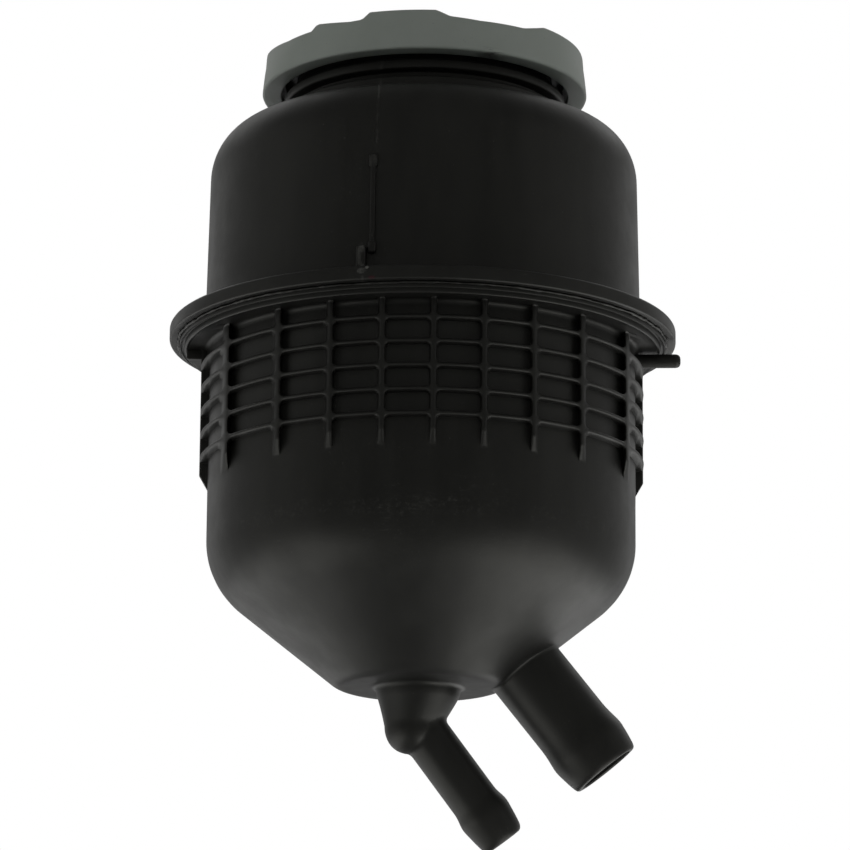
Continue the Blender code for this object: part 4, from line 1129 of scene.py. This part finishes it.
MESH_PAINT, STEEL = mesh_cloth(), drawn_steel()
for node, material in (
    ("cap_gasket", RUBBER), ("vent_valve", RUBBER), ("filter_seal", RUBBER), ("dipstick", STICK_PAINT),
    ("baffle_plate", FILTER_PAINT), ("filter_top_plate", FILTER_PAINT), ("filter_cage", FILTER_PAINT),
    ("filter_bottom_plate", FILTER_PAINT), ("bypass_cage", FILTER_PAINT), ("bypass_disc", PLUG_PAINT),
    ("filter_mesh", MESH_PAINT), ("filter_spring", STEEL), ("bypass_spring", STEEL),
):
    finish_with(frame["nodes"][node], material)
print("pieces dressed:", len(frame["nodes"]))

# %% [markdown]
# ## Camera
#
# The photograph was taken with a long lens from slightly below, looking up at the cone. The place,
# the tilt and the lens come from lines of the object that the picture shows: the ellipses of the
# flange, the rows of the grid and the cap's rim.

# %% Place the camera
PICTURE_WIDTH, FOCAL_LENGTH = 850, 4561
CAMERA_PLACE, CAMERA_PITCH, CAMERA_ROLL = (0.66, -960.0, -250.8), 0.2401, 0.0078


def place_camera():
    """A camera that looks along +Y, pitched up and rolled. The focal length is in pixels."""
    ahead = Vector((0, cos(CAMERA_PITCH), sin(CAMERA_PITCH)))
    up, right = Vector((0, -sin(CAMERA_PITCH), cos(CAMERA_PITCH))), Vector((1, 0, 0))
    side = cos(CAMERA_ROLL) * right + sin(CAMERA_ROLL) * up
    top = cos(CAMERA_ROLL) * up - sin(CAMERA_ROLL) * right
    camera = add("camera", bpy.data.cameras.new("camera"))
    matrix = Matrix((side, top, -ahead)).transposed().to_4x4()
    matrix.translation = Vector(CAMERA_PLACE) * MM
    camera.matrix_world = matrix
    camera.data.sensor_width = 36
    camera.data.lens = FOCAL_LENGTH / PICTURE_WIDTH * camera.data.sensor_width
    camera.data.clip_start, camera.data.clip_end = 0.05, 30
    bpy.context.scene.camera = camera
    return camera


camera = place_camera()
print("lens", round(camera.data.lens, 1), "mm")

# %% [markdown]
# ## Floor, backdrop and light
#
# The reservoir hangs by its flange, so the floor lies below it. Black plastic shows little but
# reflections: the photograph has a dim even room, pale panels at both sides, and bright patches
# low down on the left, the right and at the back, which the cone picks up. Big soft lamps that
# reflections don't see add plain light from all round, so that every colour shows as it is written.

# %% Stage and lamps
def area_lamp(name, place, target, width, height, radiance, mirrored=True):
    """A soft panel of a width and height in metres. Its radiance is what a mirror would show."""
    lamp = bpy.data.lights.new(name, "AREA")
    lamp.shape, lamp.size, lamp.size_y = "RECTANGLE", width, height
    lamp.energy = radiance * pi * width * height
    obj = add(name, lamp)
    way = Vector(target) - Vector(place)
    obj.matrix_world = Matrix.Translation(place) @ way.to_track_quat("-Z", "Y").to_matrix().to_4x4()
    obj.visible_camera = False
    obj.visible_glossy = mirrored
    return obj


def pale(name, colour, seen, mirrored):
    """A stage finish that is seen as near white, is mirrored at a level, and is lit as its colour."""
    material = bpy.data.materials.new(name)
    material.use_nodes = True
    sheet = Sheet(material.node_tree)
    shader = material.node_tree.nodes["Principled BSDF"]
    shader.inputs["Base Color"].default_value = (*colour, 1.0)
    shader.inputs["Roughness"].default_value = 0.9
    path = material.node_tree.nodes.new("ShaderNodeLightPath")
    straight, through, glossy = (Value(sheet, path.outputs[label]) for label in
                                 ("Is Camera Ray", "Is Transmission Ray", "Is Glossy Ray"))
    strength = 1 - glossy * (1 - mirrored)
    white = sheet.node("ShaderNodeEmission", {}, {"Color": (1, 1, 1, 1), "Strength": strength})
    shown = (straight.most(through) * seen).most(glossy)
    mix_to_end(sheet, "Material Output", shown, shader, white)
    return material


def mix_to_end(sheet, end, factor, first, second):
    """Ends a tree in a mix of two shaders."""
    mix = sheet.node("ShaderNodeMixShader", {}, {0: factor, 1: Value(sheet, first.outputs[0]), 2: second})
    sheet.tree.links.new(mix.socket, sheet.tree.nodes[end].inputs[0])


def stage():
    wide, low, deep = 6000, -420, 2600
    floor = put("floor", [(-wide, -wide, low), (wide, -wide, low), (wide, wide, low), (-wide, wide, low)],
                [(0, 1, 2, 3)])
    back = put("backdrop", [(-3000, deep, low), (3000, deep, low), (3000, deep, 3000), (-3000, deep, 3000)],
               [(0, 1, 2, 3)])
    finish_with(floor, pale("pale floor", (0.8, 0.8, 0.8), 0.75, 0.12))
    finish_with(back, pale("white backdrop", (0.85, 0.85, 0.85), 1.0, 0.45))
    world = bpy.data.worlds.new("studio")
    bpy.context.scene.world = world
    world.use_nodes = True
    sheet = Sheet(world.node_tree)
    room = world.node_tree.nodes["Background"]
    room.inputs["Color"].default_value = (1, 1, 1, 1)
    room.inputs["Strength"].default_value = 0.08
    path = world.node_tree.nodes.new("ShaderNodeLightPath")
    white = sheet.node("ShaderNodeBackground", {}, {"Color": (1, 1, 1, 1), "Strength": 1.0})
    mix_to_end(sheet, "World Output", Value(sheet, path.outputs["Is Camera Ray"]), room, white)


stage()
for side in (-1, 1):
    area_lamp("side panel", (1.2 * side, 0.85, 0.25), (0, 0.85, 0.25), 3.1, 1.2, 0.18)
    area_lamp("upper panel", (1.2 * side, 1.6, 1.9), (0, 0, 0), 1.5, 1.5, 0.55)
    area_lamp("side fill", (1.6 * side, -0.3, 0.5), (0, 0, 0), 1.2, 1.2, 1.7, mirrored=False)
area_lamp("low patch left", (-0.53, 0.35, -0.40), (-0.53, 0.35, 1), 0.65, 1.4, 0.98)
area_lamp("low patch right", (0.40, 0.32, -0.40), (0.40, 0.32, 1), 0.55, 1.24, 1.45)
area_lamp("low panel back", (0, 2.1, -0.41), (0, 2.1, 1), 2.4, 0.8, 1.2)
for name, place, radiance in (("front fill", (0, -1.7, 0.5), 1.3), ("back fill", (0, 1.9, 0.8), 1.2),
                              ("top fill", (0, 0, 1.7), 1.2)):
    area_lamp(name, place, (0, 0, 0), 1.6, 1.6, radiance, mirrored=False)
bpy.context.scene.view_settings.view_transform = "Standard"
